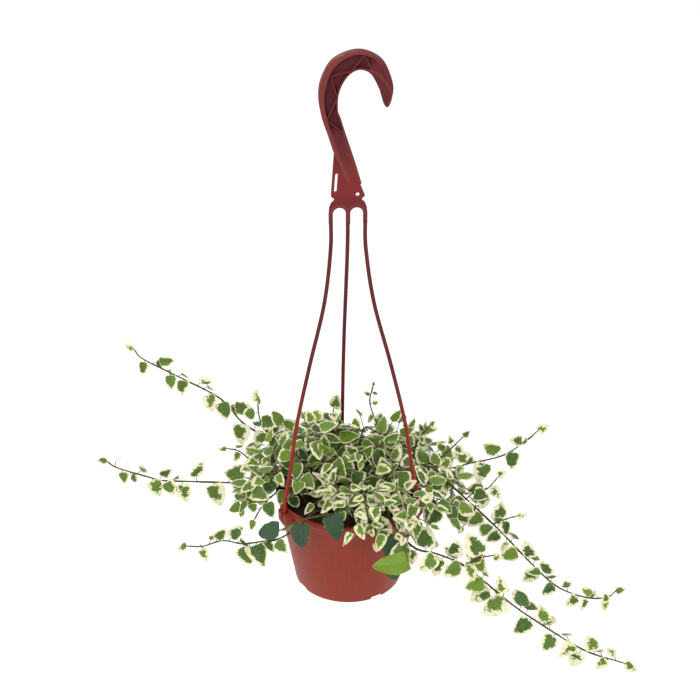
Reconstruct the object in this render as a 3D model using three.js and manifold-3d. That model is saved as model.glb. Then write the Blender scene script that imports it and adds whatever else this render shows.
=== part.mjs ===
// A variegated creeping fig in a hanging pot: a tapered plastic pot, a one-piece plastic hanger with a hook,
// the soil, and the leafy stems that make a mound over the pot and trail out of it.
//
// Millimetres, +Z up. Everything is modelled with the pot's foot at z = 0 and its axis on x = y = 0, and the
// group at the end puts the origin at the inner top of the hook, the point that the whole thing hangs from.
// The hook lies in the XZ plane, and the front of the plant is towards -Y.

import * as THREE from "three";
import { mergeVertices } from "three/addons/utils/BufferGeometryUtils.js";
import Module from "manifold-3d";

// Driving dimensions of the pot
const POT_HEIGHT = 108;
const RIM_RADIUS = 75; // outside of the lip
const NECK_RADIUS = 73.4; // outside of the wall just under the lip
const FOOT_RADIUS = 56;
const WALL = 1.8;
const LIP_HEIGHT = 6;
const FLOOR_HEIGHT = 4; // the floor's underside stands this far above the foot
const FLOOR_THICKNESS = 2.5;
const FOOT_RING = 2.6; // width of the foot ring
const POT_SIDES = 30;

// Drain notches in the foot ring and drain holes in the floor
const NOTCH_WIDTH = 14;
const NOTCH_TURNS = [0, 1, 2, 3].map((quarter) => quarter * 90 + 27);
const DRAIN_RADIUS = 3.5;
const DRAIN_CIRCLE = 36;
const DRAIN_COUNT = 5;

// Lugs that hold the arms' feet, and the arms. A turn is counted from the front, anticlockwise from above.
const ARM_TURNS = { right: 60, rear: 180, left: -60 };
const LUG_WIDTH = 20;
const LUG_TOP = POT_HEIGHT - 1.5;
const LUG_HEIGHT = 22;
const LUG_SHOULDER = 9; // the lug's sides are straight down to here, counted from its top
const LUG_REACH = 81.5; // from the pot's axis to the lug's outer face
const ARM_SEAT = 77.6; // from the pot's axis to the arm's middle, in the lug
const ARM_RADIUS = 1.95;
const ARM_SIDES = 6;
const ARM_STEPS = 16;
const ARM_ROOT_GAP = 16.2; // the arms' spacing where they leave the plate
const FOOT_WIDTH = 7.8;
const FOOT_DEPTH = 3.4;
const FOOT_TALL = 7;
const SEAT_DEPTH = 9; // from the lug's top down to the chamber for the arm's foot
const GROOVE = 2.2; // width of the groove in the lug's face
const PLAY = 0.35; // running clearance between pieces

// An arm's distance from the pot's axis at heights above the rim
const ARM_SPREAD = [
  [-12, 77.6],
  [3, 77.9],
  [20, 75.7],
  [42, 70.8],
  [94, 61.9],
  [156, 45.7],
  [218, 30.4],
  [270, 21.4],
  [302, 17.4],
];

// The hook: edges of its curved strip from the tip round to the plate, in its own plane (x, height)
const HOOK_OUTER = [
  [35.5, 517],
  [39.2, 526],
  [40.2, 541],
  [32.3, 560],
  [18.2, 569.4],
  [3.2, 570.4],
  [-14.1, 562.1],
  [-23.9, 545.3],
  [-26.6, 529],
  [-24.2, 511.2],
  [-18.8, 493.8],
  [-12.9, 475],
  [-6.6, 459.6],
  [-0.3, 444],
];
const HOOK_INNER = [
  [32.2, 521],
  [30.5, 527.2],
  [27.6, 536.5],
  [20.5, 549.9],
  [11.6, 554.6],
  [2.6, 551.6],
  [-4.6, 542.6],
  [-8.8, 531],
  [-9.2, 516],
  [-6.1, 506.5],
  [-1.6, 491.4],
  [3, 477],
  [8, 461],
  [12.8, 444],
];
const HANG_POINT = new THREE.Vector3(11.6, 0, 554.6);
const HOOK_DEPTH = 11.4;
const HOOK_WEB = 2.4; // thickness of the channel's back
const HOOK_STEPS = 24;
// The recess in the hook's front: where it starts and ends along the hook, and the widths of its two rims.
// The outer rim widens to a band along the hook's back.
const RECESS_FROM = 0.27;
const RECESS_TO = 0.76;
const INNER_RIM = 1.9;
const OUTER_RIM = [
  [0.27, 2.3],
  [0.385, 2.8],
  [0.46, 4.8],
  [0.54, 6.2],
  [0.62, 6.2],
  [0.7, 5.2],
  [0.76, 4.6],
];
const RIB_WIDTH = 1.4;
const RIB_DEPTH = 7.6;
const RIB_SET = -0.2; // middle of a rib's depth: its front stands a little behind the rims
// Corners of the zigzag of ribs in the recess
const RIB_LINE = [
  [21.1, 555.8],
  [14.2, 567.6],
  [3.4, 553],
  [-15.6, 549.6],
  [-9.8, 528.6],
  [-19.6, 508],
  [-3.4, 495.1],
];

// The flat plate under the hook, and the roots of the three arms
const PLATE_THICKNESS = 3.2;
const PLATE_LEFT = [
  [-10.4, 475],
  [-12.9, 475],
  [-16, 432],
  [-12.8, 429.6],
  [-15.4, 424],
];
const PLATE_RIGHT = [
  [15.4, 424],
  [12.8, 429.6],
  [16, 432],
  [11.6, 443.2],
  [2, 475],
];
const PLATE_SLOT = [
  [-9.3, 455],
  [-11.8, 454.8],
  [-13.2, 436.4],
  [-10.6, 436.2],
];
const PLATE_HOLE = { x: 9, z: 433.4, radius: 2.1 };
const ARCH_TOP = 420.7;
const ARM_SHOULDER = 415; // the plate's sides run into the outer arms here
const ARM_STUB = 404; // the arms' roots are part of the plate down to here

// Soil
const SOIL_EDGE = 94;
const SOIL_CROWN = 98;
const SOIL_SIDES = 16;
const STEM_HOLE = 3.4; // radius of a three-sided hole's corners
const STEM_HOLE_DEPTH = 14;

// Leaves and stems
const STEM_BASE_RADIUS = 1.2;
const STEM_TIP_RADIUS = 0.75;
const NODE_HALF = 0.65; // half the stretch of stem that a petiole grows from
const STEM_RISE = 3; // a stem leaves its hole straight up to this height over the soil
const BARE_LENGTH = 14; // no leaf sits nearer the soil than this
const BLADE_THICKNESS = 0.78;
const PETIOLE_HALF = 0.55;
const SMALL_LEAF = 16.5; // a shorter blade has two points a side in place of three
const LIGHT = new THREE.Vector3(-0.1, -0.6, 0.8).normalize(); // leaves turn their faces this way
const UP = new THREE.Vector3(0, 0, 1);
// How leaves stand to their stem: "lean" forward along it, and "hang" down. Those of a runner point back along
// it, towards the pot.
const RUNNER = { lean: -0.6, hang: 0.5 };
const MOUND = { lean: 0.05, hang: 0.3 };
const LEAF_GAP = 0.35;
const POT_GAP = 0.8;
const LOWEST_LEAF = 1.5; // no leaf reaches nearer the foot's level than this
const STEM_TRIES = 24;
const LEAF_TRIES = 14;

// Half outline of a blade: each point is how far along, how far across and how much it waves, as shares of
// the blade's length
const BROAD_EDGE = [
  [0.04, 0.3, 0.03],
  [0.38, 0.43, -0.03],
  [0.75, 0.29, 0.03],
];
const SMALL_EDGE = [
  [0.1, 0.35, 0.02],
  [0.58, 0.37, -0.02],
];

const LOOKS = {
  pot: { color: 0xa5472f, roughness: 0.5, metalness: 0 },
  hanger: { color: 0x6f2a25, roughness: 0.45, metalness: 0 },
  soil: { color: 0x2a211a, roughness: 1, metalness: 0 },
  variegated: { color: 0x8fae5d, roughness: 0.55, metalness: 0 },
  green: { color: 0x2f6a35, roughness: 0.5, metalness: 0 },
};

const wasm = await Module();
wasm.setup();

const degrees = (turn) => (turn * Math.PI) / 180;

// A closed geometry as a solid that can be joined and cut
function solidOf(geometry) {
  const bare = new THREE.BufferGeometry().setAttribute("position", geometry.getAttribute("position"));
  if (geometry.index) bare.setIndex(geometry.index);
  const merged = mergeVertices(bare, 1e-4);
  return new wasm.Manifold(
    new wasm.Mesh({
      numProp: 3,
      vertProperties: new Float32Array(merged.getAttribute("position").array),
      triVerts: new Uint32Array(merged.index.array),
    }),
  );
}

function meshOf(name, solid, look) {
  const { numProp, vertProperties, triVerts } = solid.getMesh();
  const geometry = new THREE.BufferGeometry()
    .setAttribute("position", new THREE.InterleavedBufferAttribute(
      new THREE.InterleavedBuffer(vertProperties, numProp), 3, 0))
    .setIndex(new THREE.BufferAttribute(triVerts, 1));
  const mesh = new THREE.Mesh(geometry, new THREE.MeshStandardMaterial(LOOKS[look]));
  mesh.name = name;
  return mesh;
}

const joinAll = (solids) => solids.reduce((whole, piece) => whole.add(piece));
const cutAll = (solid, cutters) => cutters.reduce((rest, cutter) => rest.subtract(cutter), solid);

// A solid of revolution about Z from (radius, height) points that start and end on the axis
function turned(profile, sides) {
  const points = profile.map(([radius, height]) => new THREE.Vector2(radius, height));
  return new THREE.LatheGeometry(points, sides).rotateX(Math.PI / 2);
}

// An outline drawn in the XZ plane, made solid between two values of y
function slab(outline, front, back) {
  const shape = new THREE.Shape(outline.map(([x, z]) => new THREE.Vector2(x, z)));
  return new THREE.ExtrudeGeometry(shape, { depth: back - front, bevelEnabled: false, curveSegments: 8 })
    .rotateX(Math.PI / 2)
    .translate(0, back, 0);
}

function block(width, depth, height, x, y, z) {
  return new THREE.BoxGeometry(width, depth, height).translate(x, y, z);
}

function circleOutline(x, z, radius, count) {
  return Array.from({ length: count }, (_, i) => {
    const angle = (2 * Math.PI * i) / count;
    return [x + radius * Math.cos(angle), z + radius * Math.sin(angle)];
  });
}

// Pot: a solid tapered body with its lip and lugs, emptied by its inner shape, then cut for seats and drains
const wallRadius = (height) =>
  THREE.MathUtils.lerp(FOOT_RADIUS, NECK_RADIUS, height / (POT_HEIGHT - LIP_HEIGHT));

function lugOutline() {
  const half = LUG_WIDTH / 2;
  const bottom = LUG_TOP - LUG_HEIGHT;
  return [
    [-half, LUG_TOP],
    [-half, LUG_TOP - LUG_SHOULDER],
    [-half * 0.62, bottom + 4],
    [-half * 0.3, bottom],
    [half * 0.3, bottom],
    [half * 0.62, bottom + 4],
    [half, LUG_TOP - LUG_SHOULDER],
    [half, LUG_TOP],
  ];
}

// The seat in a lug: a channel for the arm, a wider chamber for its foot, and a groove in front of both
function seatCutters() {
  const channel = LUG_TOP - SEAT_DEPTH;
  const chamber = channel - FOOT_TALL - 2 * PLAY;
  const open = LUG_TOP + 1;
  const front = LUG_REACH + 2;
  const depth = 2 * (ARM_RADIUS + PLAY);
  const mid = (low, high) => (low + high) / 2;
  return [
    block(depth, depth, open - channel, 0, -ARM_SEAT, mid(channel, open)),
    block(FOOT_WIDTH + 2 * PLAY, depth, channel - chamber + 0.2, 0, -ARM_SEAT, mid(chamber, channel + 0.2)),
    block(GROOVE, front - ARM_SEAT, open - chamber, 0, -mid(front, ARM_SEAT), mid(chamber, open)),
  ];
}

function makePot() {
  const lip = POT_HEIGHT - LIP_HEIGHT;
  const body = solidOf(turned([
    [0, 0],
    [FOOT_RADIUS - 1.4, 0],
    [FOOT_RADIUS, 1.6],
    [NECK_RADIUS, lip - 1],
    [RIM_RADIUS, lip + 0.6],
    [RIM_RADIUS, POT_HEIGHT - 1],
    [RIM_RADIUS - 1, POT_HEIGHT],
    [0, POT_HEIGHT],
  ], POT_SIDES));
  const floor = FLOOR_HEIGHT + FLOOR_THICKNESS;
  const inside = solidOf(turned([
    [0, floor],
    [wallRadius(floor) - WALL - 2, floor],
    [wallRadius(floor + 2) - WALL, floor + 2],
    [NECK_RADIUS - WALL, lip],
    [NECK_RADIUS - WALL + 0.5, POT_HEIGHT + 1],
    [0, POT_HEIGHT + 1],
  ], POT_SIDES));
  const lugs = Object.values(ARM_TURNS).map((turn) =>
    solidOf(slab(lugOutline(), -LUG_REACH, -FOOT_RADIUS).rotateZ(degrees(turn))));
  const seats = Object.values(ARM_TURNS).flatMap((turn) =>
    seatCutters().map((cutter) => solidOf(cutter.rotateZ(degrees(turn)))));
  const recess = solidOf(turned([
    [0, -1],
    [FOOT_RADIUS - FOOT_RING - 0.6, -1],
    [FOOT_RADIUS - FOOT_RING, FLOOR_HEIGHT],
    [0, FLOOR_HEIGHT],
  ], POT_SIDES));
  const notches = NOTCH_TURNS.map((turn) =>
    solidOf(block(NOTCH_WIDTH, 8, FLOOR_HEIGHT + 1, 0, -FOOT_RADIUS, (FLOOR_HEIGHT - 1) / 2)
      .rotateZ(degrees(turn))));
  const drains = Array.from({ length: DRAIN_COUNT }, (_, i) => {
    const turn = degrees((360 * i) / DRAIN_COUNT + 30);
    return solidOf(new THREE.CylinderGeometry(DRAIN_RADIUS, DRAIN_RADIUS, 12, 6)
      .rotateX(Math.PI / 2)
      .translate(DRAIN_CIRCLE * Math.cos(turn), DRAIN_CIRCLE * Math.sin(turn), FLOOR_HEIGHT));
  });
  return cutAll(joinAll([body, ...lugs]), [inside, recess, ...seats, ...notches, ...drains]);
}

// Hanger: the channel-shaped hook, the plate and the three arms are one moulding
const curveThrough = (points) =>
  new THREE.CatmullRomCurve3(points.map(([x, z]) => new THREE.Vector3(x, 0, z)), false, "catmullrom", 0.5);

// A value between listed ones: rows are [share, value]
function between(rows, share) {
  const last = rows.length - 1;
  const i = Math.max(1, rows.findIndex(([at]) => at >= share));
  const [[t0, v0], [t1, v1]] = share > rows[last][0] ? [rows[last - 1], rows[last]] : [rows[i - 1], rows[i]];
  return THREE.MathUtils.lerp(v0, v1, THREE.MathUtils.clamp((share - t0) / (t1 - t0), 0, 1));
}

// An outline of the hook's strip from one share of its length to another, inside two rims
function stripOutline(from, to, steps, outerRim, innerRim) {
  const outer = curveThrough(HOOK_OUTER);
  const inner = curveThrough(HOOK_INNER);
  const edges = { outer: [], inner: [] };
  for (let i = 0; i <= steps; i++) {
    const t = from + ((to - from) * i) / steps;
    const a = outer.getPoint(t);
    const b = inner.getPoint(t);
    const across = b.clone().sub(a).normalize();
    edges.outer.push([a.x + across.x * outerRim(t), a.z + across.z * outerRim(t)]);
    edges.inner.push([b.x - across.x * innerRim, b.z - across.z * innerRim]);
  }
  return [...edges.outer, ...edges.inner.reverse()];
}

function makeHook() {
  const front = -HOOK_DEPTH / 2;
  const back = HOOK_DEPTH / 2;
  const strip = solidOf(slab(stripOutline(0, 1, HOOK_STEPS, () => 0, 0), front, back));
  const rim = (t) => between(OUTER_RIM, t);
  const recess = solidOf(slab(
    stripOutline(RECESS_FROM, RECESS_TO, HOOK_STEPS / 2, rim, INNER_RIM), front - 1, back - HOOK_WEB));
  const ribs = RIB_LINE.slice(1).map((end, i) => {
    const start = RIB_LINE[i];
    const run = new THREE.Vector2(end[0] - start[0], end[1] - start[1]);
    return solidOf(
      new THREE.BoxGeometry(run.length(), RIB_DEPTH, RIB_WIDTH)
        .rotateY(-run.angle())
        .translate((start[0] + end[0]) / 2, RIB_SET, (start[1] + end[1]) / 2),
    );
  });
  return joinAll([strip.subtract(recess), ...ribs]);
}

function makePlate() {
  const half = PLATE_THICKNESS / 2;
  const archRadius = ARM_ROOT_GAP / 2 - ARM_RADIUS;
  const arch = (centre) => Array.from({ length: 6 }, (_, i) => {
    const angle = Math.PI - (Math.PI * i) / 5;
    return [centre + archRadius * Math.cos(angle), ARCH_TOP - archRadius + archRadius * Math.sin(angle)];
  });
  const stub = (x) => [
    [x - ARM_RADIUS, ARM_STUB],
    [x + ARM_RADIUS, ARM_STUB],
  ];
  const outline = [
    ...PLATE_LEFT,
    [-ARM_ROOT_GAP - ARM_RADIUS, ARM_SHOULDER],
    ...stub(-ARM_ROOT_GAP),
    ...arch(-ARM_ROOT_GAP / 2),
    ...stub(0),
    ...arch(ARM_ROOT_GAP / 2),
    ...stub(ARM_ROOT_GAP),
    [ARM_ROOT_GAP + ARM_RADIUS, ARM_SHOULDER],
    ...PLATE_RIGHT,
  ];
  const hole = circleOutline(PLATE_HOLE.x, PLATE_HOLE.z, PLATE_HOLE.radius, 8);
  return cutAll(solidOf(slab(outline, -half, half)), [
    solidOf(slab(PLATE_SLOT, -half - 1, half + 1)),
    solidOf(slab(hole, -half - 1, half + 1)),
  ]);
}

// An arm leaves the plate in the hook's plane and swings round to its own side of the pot as it goes down
function armPoints(turn) {
  const angle = degrees(turn);
  const rootX = Math.sign(Math.round(Math.sin(angle) * 2)) * ARM_ROOT_GAP;
  const points = ARM_SPREAD.map(([rise, radius]) => {
    const height = POT_HEIGHT + rise;
    const swing = THREE.MathUtils.smoothstep(POT_HEIGHT + 320 - height, 0, 150);
    return new THREE.Vector3(
      THREE.MathUtils.lerp(rootX, radius * Math.sin(angle), swing),
      -radius * Math.cos(angle) * swing,
      height,
    );
  });
  return points;
}

function makeArm(turn) {
  const path = new THREE.CatmullRomCurve3(armPoints(turn), false, "catmullrom", 0.5);
  const section = new THREE.Shape(circleOutline(0, 0, ARM_RADIUS, ARM_SIDES)
    .map(([x, z]) => new THREE.Vector2(x, z)));
  const route = { steps: ARM_STEPS, extrudePath: path, bevelEnabled: false };
  const rod = new THREE.ExtrudeGeometry(section, route);
  const top = LUG_TOP - SEAT_DEPTH - PLAY;
  const foot = block(FOOT_WIDTH, FOOT_DEPTH, FOOT_TALL, 0, -ARM_SEAT, top - FOOT_TALL / 2);
  return joinAll([solidOf(rod), solidOf(foot.rotateZ(degrees(turn)))]);
}

function makeHanger() {
  return joinAll([makeHook(), makePlate(), ...Object.values(ARM_TURNS).map(makeArm)]);
}

// A number from 0 to 1 that depends on nothing but its keys, so every draw repeats
function draw(...keys) {
  let hash = 0x9e3779b9;
  for (const key of keys) {
    hash = Math.imul(hash ^ key, 0x85ebca6b);
    hash ^= hash >>> 13;
  }
  hash = Math.imul(hash, 0xc2b2ae35);
  return ((hash ^ (hash >>> 16)) >>> 0) / 2 ** 32;
}

// The height of the soil at a distance from the axis
const soilTop = (radius) => SOIL_CROWN - (SOIL_CROWN - SOIL_EDGE) * (radius / NECK_RADIUS) ** 2;

// Points at even distances along the smooth curve through the given points
function evenly(points, pace) {
  const curve = new THREE.CatmullRomCurve3(points, false, "catmullrom", 0.5);
  const fine = curve.getPoints(300);
  const lengths = [0];
  for (let i = 1; i < fine.length; i++) lengths.push(lengths[i - 1] + fine[i].distanceTo(fine[i - 1]));
  const total = lengths[fine.length - 1];
  const count = Math.max(2, Math.round(total / pace));
  const places = [];
  let at = 0;
  for (let i = 0; i <= count; i++) {
    const want = (total * i) / count;
    while (at < fine.length - 2 && lengths[at + 1] < want) at++;
    const share = (want - lengths[at]) / (lengths[at + 1] - lengths[at]);
    places.push(fine[at].clone().lerp(fine[at + 1], share));
  }
  return places;
}

// Directions along a line of points: each is the mean of the steps on its two sides
function headings(places) {
  return places.map((place, i) => {
    const before = places[Math.max(i - 1, 0)];
    const after = places[Math.min(i + 1, places.length - 1)];
    return after.clone().sub(before).normalize();
  });
}

// The skeleton of a thin tapered stem: at each place its heading, its radius, and a side that doesn't twist
function skeleton(places, startRadius, endRadius) {
  const ways = headings(places);
  let side = new THREE.Vector3(0.3, 0.9, 0.2).cross(ways[0]).normalize();
  const sides = ways.map((way) => {
    side = side.clone().addScaledVector(way, -side.dot(way)).normalize();
    return side;
  });
  const radii = places.map((_, i) => THREE.MathUtils.lerp(startRadius, endRadius, i / (places.length - 1)));
  return { places, ways, sides, radii };
}

// The three corners of a stem's section at a place, moved along the stem by a shift
function ringAt({ places, ways, sides, radii }, index, shift) {
  const other = ways[index].clone().cross(sides[index]);
  const centre = places[index].clone().addScaledVector(ways[index], shift);
  return [0, 1, 2].map((corner) => {
    const angle = (2 * Math.PI * corner) / 3;
    return centre.clone()
      .addScaledVector(sides[index], radii[index] * Math.cos(angle))
      .addScaledVector(other, radii[index] * Math.sin(angle));
  });
}

// The corner of the section that starts the side which faces a direction best
function facingCorner({ ways, sides }, index, direction) {
  const other = ways[index].clone().cross(sides[index]);
  const reach = [0, 1, 2].map((corner) => {
    const angle = (2 * Math.PI * (corner + 0.5)) / 3;
    return direction.dot(sides[index]) * Math.cos(angle) + direction.dot(other) * Math.sin(angle);
  });
  return reach.indexOf(Math.max(...reach));
}

function geometryOf(points, faces) {
  return new THREE.BufferGeometry().setFromPoints(points).setIndex(faces);
}

// One leaf: its petiole's neck and the edges of the two faces of its folded, waved blade
function leafShape(leaf) {
  const { neck, along, across, face, size, fold, droop } = leaf;
  const edge = size < SMALL_LEAF ? SMALL_EDGE : BROAD_EDGE;
  const at = (s, w, h) => neck.clone()
    .addScaledVector(along, s)
    .addScaledVector(across, w)
    .addScaledVector(face, h);
  const side = (sign) => edge.map(([s, w, wave]) =>
    at(s * size, sign * w * size, size * (fold * w - droop * s * s + wave * leaf.wave)));
  const top = [...side(-1), at(size, 0, -droop * size), ...side(1).reverse()];
  const bottom = top.map((point) => point.clone().addScaledVector(face, -BLADE_THICKNESS));
  const run = leaf.stalk.dot(along);
  const rise = leaf.stalk.dot(face);
  const collar = [
    at(-0.3 * rise, -PETIOLE_HALF, 0.3 * run),
    at(-0.3 * rise, PETIOLE_HALF, 0.3 * run),
    at(0.6 * rise, 0, -0.6 * run),
  ];
  return { collar, top, bottom, half: edge.length };
}

// Faces of a petiole from three root points to the collar, and of the blade that widens from there.
// Root points run the same way round as the collar, and are turned to the pairing with the least twist. Each
// side of the petiole is split along its shorter diagonal.
function leafFaces(root, points, { collar, top, bottom, half }) {
  const first = points.length;
  points.push(...collar, ...top, ...bottom);
  const n = top.length;
  const middle = (three) => three.reduce((sum, point) => sum.add(point), new THREE.Vector3()).divideScalar(3);
  const shift = middle(collar).sub(middle(root.map((i) => points[i])));
  const twist = [0, 1, 2].map((turn) => collar.reduce((sum, point, i) =>
    sum + points[root[(i + turn) % 3]].clone().add(shift).distanceToSquared(point), 0));
  const turn = twist.indexOf(Math.min(...twist));
  const r = (i) => root[(i + turn) % 3];
  const c = (i) => first + (i % 3);
  const t = (i) => first + 3 + i;
  const b = (i) => first + 3 + n + i;
  const faces = [];
  const length = (step) => [0, 1, 2].reduce((sum, i) =>
    sum + points[r(i + step)].distanceToSquared(points[c(i + 1 - step)]), 0);
  const forward = length(0) <= length(1);
  for (let i = 0; i < 3; i++) {
    faces.push(r(i), r(i + 1), forward ? c(i + 1) : c(i));
    faces.push(forward ? r(i) : r(i + 1), c(i + 1), c(i));
  }
  faces.push(c(0), c(1), t(half));
  faces.push(c(0), t(0), b(0), c(0), b(0), c(2));
  faces.push(c(1), c(2), b(n - 1), c(1), b(n - 1), t(n - 1));
  for (let i = 0; i < n - 1; i++) {
    faces.push(i < half ? c(0) : c(1), t(i + 1), t(i), c(2), b(i), b(i + 1));
    faces.push(t(i), t(i + 1), b(i + 1), t(i), b(i + 1), b(i));
  }
  return faces;
}

// A stem and its leaves as one closed surface. Where a leaf grows, the stem has a short stretch between two
// sections, and the petiole takes the place of one triangle of that stretch. The last leaf takes the stem's
// end.
function stemSolid(line, leaves) {
  const last = line.places.length - 1;
  const points = [];
  const faces = [];
  let below = null;
  const section = (index, shift) => {
    const first = points.length;
    points.push(...ringAt(line, index, shift));
    const ring = [first, first + 1, first + 2];
    if (below) {
      for (let j = 0; j < 3; j++) {
        const k = (j + 1) % 3;
        faces.push(below[j], below[k], ring[k], below[j], ring[k], ring[j]);
      }
    }
    return ring;
  };
  for (let index = 0; index <= last; index++) {
    const leaf = leaves.get(index);
    if (leaf && index < last) {
      below = section(index, -NODE_HALF);
      const above = section(index, NODE_HALF);
      const removed = faces.length - 18 + 6 * leaf.corner;
      const root = faces.splice(removed, 3);
      faces.push(...leafFaces(root, points, leaf.shape));
      below = above;
    } else {
      below = section(index, 0);
    }
  }
  const tip = leaves.get(last);
  faces.push(0, 2, 1, ...(tip ? leafFaces(below, points, tip.shape) : below));
  return solidOf(geometryOf(points, faces));
}

// Convex blocks that stand for what is already in place, each with the box that holds it
const taken = [];

function chunk(points, owner, gap) {
  return { points, owner, gap, box: new THREE.Box3().setFromPoints(points) };
}

// The point of a - b that lies furthest against a direction
function support(a, b, way) {
  let lowest = a[0];
  let highest = b[0];
  let low = Infinity;
  let high = -Infinity;
  for (const point of a) {
    const reach = point.dot(way);
    if (reach < low) {
      low = reach;
      lowest = point;
    }
  }
  for (const point of b) {
    const reach = point.dot(way);
    if (reach > high) {
      high = reach;
      highest = point;
    }
  }
  return lowest.clone().sub(highest);
}

// Whether two convex sets of points are surely further apart than a gap: the walk closes in on the shortest
// line between them, and each support point gives a distance that they can't be under
function apart(a, b, gap) {
  const line = a[0].clone().sub(b[0]);
  for (let step = 0; step < 60; step++) {
    const length = line.length();
    if (length < 1e-6) return false;
    const near = support(a, b, line);
    if (near.dot(line) / length >= gap) return true;
    const move = near.sub(line);
    const share = -line.dot(move) / move.lengthSq();
    if (!(share > 1e-5)) return false;
    line.addScaledVector(move, Math.min(share, 1));
  }
  return false;
}

function isClear(pieces, skip) {
  return pieces.every((piece) => taken.every((other) => {
    if (skip(other)) return true;
    const gap = Math.max(piece.gap, other.gap);
    const reach = other.box.clone().expandByScalar(gap);
    return !reach.intersectsBox(piece.box) || apart(piece.points, other.points, gap);
  }));
}

// The pot's wall in sectors, its lugs, the soil and the arms take their room first
function takeRoomForPot() {
  for (let i = 0; i < POT_SIDES; i++) {
    const corners = [i, i + 1].map((k) => degrees((360 * k) / POT_SIDES));
    const section = [
      [RIM_RADIUS + 0.2, POT_HEIGHT],
      [RIM_RADIUS + 0.2, POT_HEIGHT - LIP_HEIGHT],
      [FOOT_RADIUS, 0],
      [FOOT_RADIUS - WALL, 0],
      [NECK_RADIUS - WALL, POT_HEIGHT],
    ];
    const points = corners.flatMap((turn) => section.map(([radius, height]) =>
      new THREE.Vector3(radius * Math.cos(turn), radius * Math.sin(turn), height)));
    taken.push(chunk(points, "pot", POT_GAP));
  }
  for (const turn of Object.values(ARM_TURNS)) {
    const points = lugOutline().flatMap(([x, z]) => [-LUG_REACH, -FOOT_RADIUS - 8].map((y) =>
      new THREE.Vector3(x, y, z).applyAxisAngle(UP, degrees(turn))));
    taken.push(chunk(points, "pot", POT_GAP));
  }
  const soil = Array.from({ length: 24 }, (_, i) => {
    const turn = degrees(15 * i);
    return [[NECK_RADIUS, SOIL_EDGE], [30, SOIL_CROWN]].map(([radius, height]) =>
      new THREE.Vector3(radius * Math.cos(turn), radius * Math.sin(turn), height));
  }).flat();
  taken.push(chunk([...soil, new THREE.Vector3(0, 0, 0)], "soil", 0.5));
  for (const turn of Object.values(ARM_TURNS)) {
    const path = new THREE.CatmullRomCurve3(armPoints(turn), false, "catmullrom", 0.5).getSpacedPoints(24);
    for (let i = 0; i + 1 < path.length; i++) {
      const points = [path[i], path[i + 1]].flatMap((place) => [-1, 1].flatMap((sx) => [-1, 1].map((sy) =>
        place.clone().add(new THREE.Vector3(ARM_RADIUS * sx, ARM_RADIUS * sy, 0)))));
      taken.push(chunk(points, "hanger", POT_GAP));
    }
  }
}

// Leafy stems. A plan says where a stem is rooted, the points that it passes through, and its leaves:
// "leaf" is the length of a grown blade and "pace" the distance between leaves. A plan may also give "hand",
// the side that all leaves hang to, "bare", the length without leaves, and "taper", the share of its size that
// a leaf at the tip lacks.
function stemPlaces(plan, attempt) {
  const stray = (channel) => (2 * draw(plan.seed, 900 + attempt, channel) - 1) * Math.min(attempt, 8);
  const [x, y] = plan.root;
  const ground = soilTop(Math.hypot(x, y));
  const points = [new THREE.Vector3(x, y, ground + STEM_RISE)];
  plan.through.forEach(([px, py, pz], i) => {
    const ease = 1.1 * Math.min(1, (i + 1) / 2);
    points.push(new THREE.Vector3(
      px + ease * stray(3 * i),
      py + ease * stray(3 * i + 1),
      pz + 0.6 * ease * stray(3 * i + 2),
    ));
  });
  return [new THREE.Vector3(x, y, ground - STEM_HOLE_DEPTH + PLAY), ...evenly(points, plan.pace)];
}

// A side shoot starts on its parent's line, at a share of the way along it
function shootPlaces(shoot, parent) {
  const start = parent[Math.round(shoot.from * (parent.length - 1))];
  const points = [start, ...shoot.through.map(([x, y, z]) => start.clone().add(new THREE.Vector3(x, y, z)))];
  return evenly(points, shoot.pace);
}

// The frame of one leaf on a stem, for one try
function placeLeaf(stem, index, attempt) {
  const { places, ways, plan, number } = stem;
  const last = places.length - 1;
  const sway = (channel) => 2 * draw(plan.seed, number, index, attempt, channel) - 1;
  const loose = 1 + 0.3 * attempt;
  const way = ways[index];
  const spot = places[index];
  const outward = new THREE.Vector3(spot.x, spot.y, 0).normalize();
  const sky = LIGHT.clone().addScaledVector(outward, 0.35);
  const turn = (plan.hand ?? (index % 2 ? 1 : -1)) * (attempt % 4 === 3 ? -1 : 1);
  const side = way.clone().cross(sky).normalize().multiplyScalar(turn);
  const isTip = index === last;
  const { lean, hang } = plan.habit ?? MOUND;
  const along = way.clone().multiplyScalar(isTip ? 1.6 : lean + 0.3 * loose * sway(10))
    .addScaledVector(side, isTip ? 0.2 * sway(0) : 0.75 + 0.3 * loose * sway(0))
    .addScaledVector(UP, -hang + 0.35 * loose * sway(1))
    .normalize();
  const face = sky.clone()
    .addScaledVector(way, -0.85 * sky.dot(way))
    .normalize()
    .add(new THREE.Vector3(sway(2), sway(3), sway(4)).multiplyScalar(0.26 * loose));
  face.addScaledVector(along, -face.dot(along)).normalize();
  const across = along.clone().cross(face);
  const share = index / last;
  const youth = share < 0.62 ? 1 : 1 - (plan.taper ?? 0.45) * ((share - 0.62) / 0.38) ** 1.4;
  const size = plan.leaf * youth * (1 + 0.14 * sway(5)) * (1 - 0.025 * attempt);
  const reach = (isTip ? 1.5 : plan.petiole) * (0.85 + 0.3 * Math.abs(sway(6)));
  const stalk = along.clone().addScaledVector(face, isTip ? 0.2 : 1.6).normalize();
  return {
    stalk,
    neck: spot.clone().addScaledVector(stalk, reach),
    along,
    across,
    face,
    size,
    fold: 0.2 + 0.12 * sway(7),
    droop: 0.1 + 0.08 * sway(8),
    wave: 1 + 0.5 * sway(9),
  };
}

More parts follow.
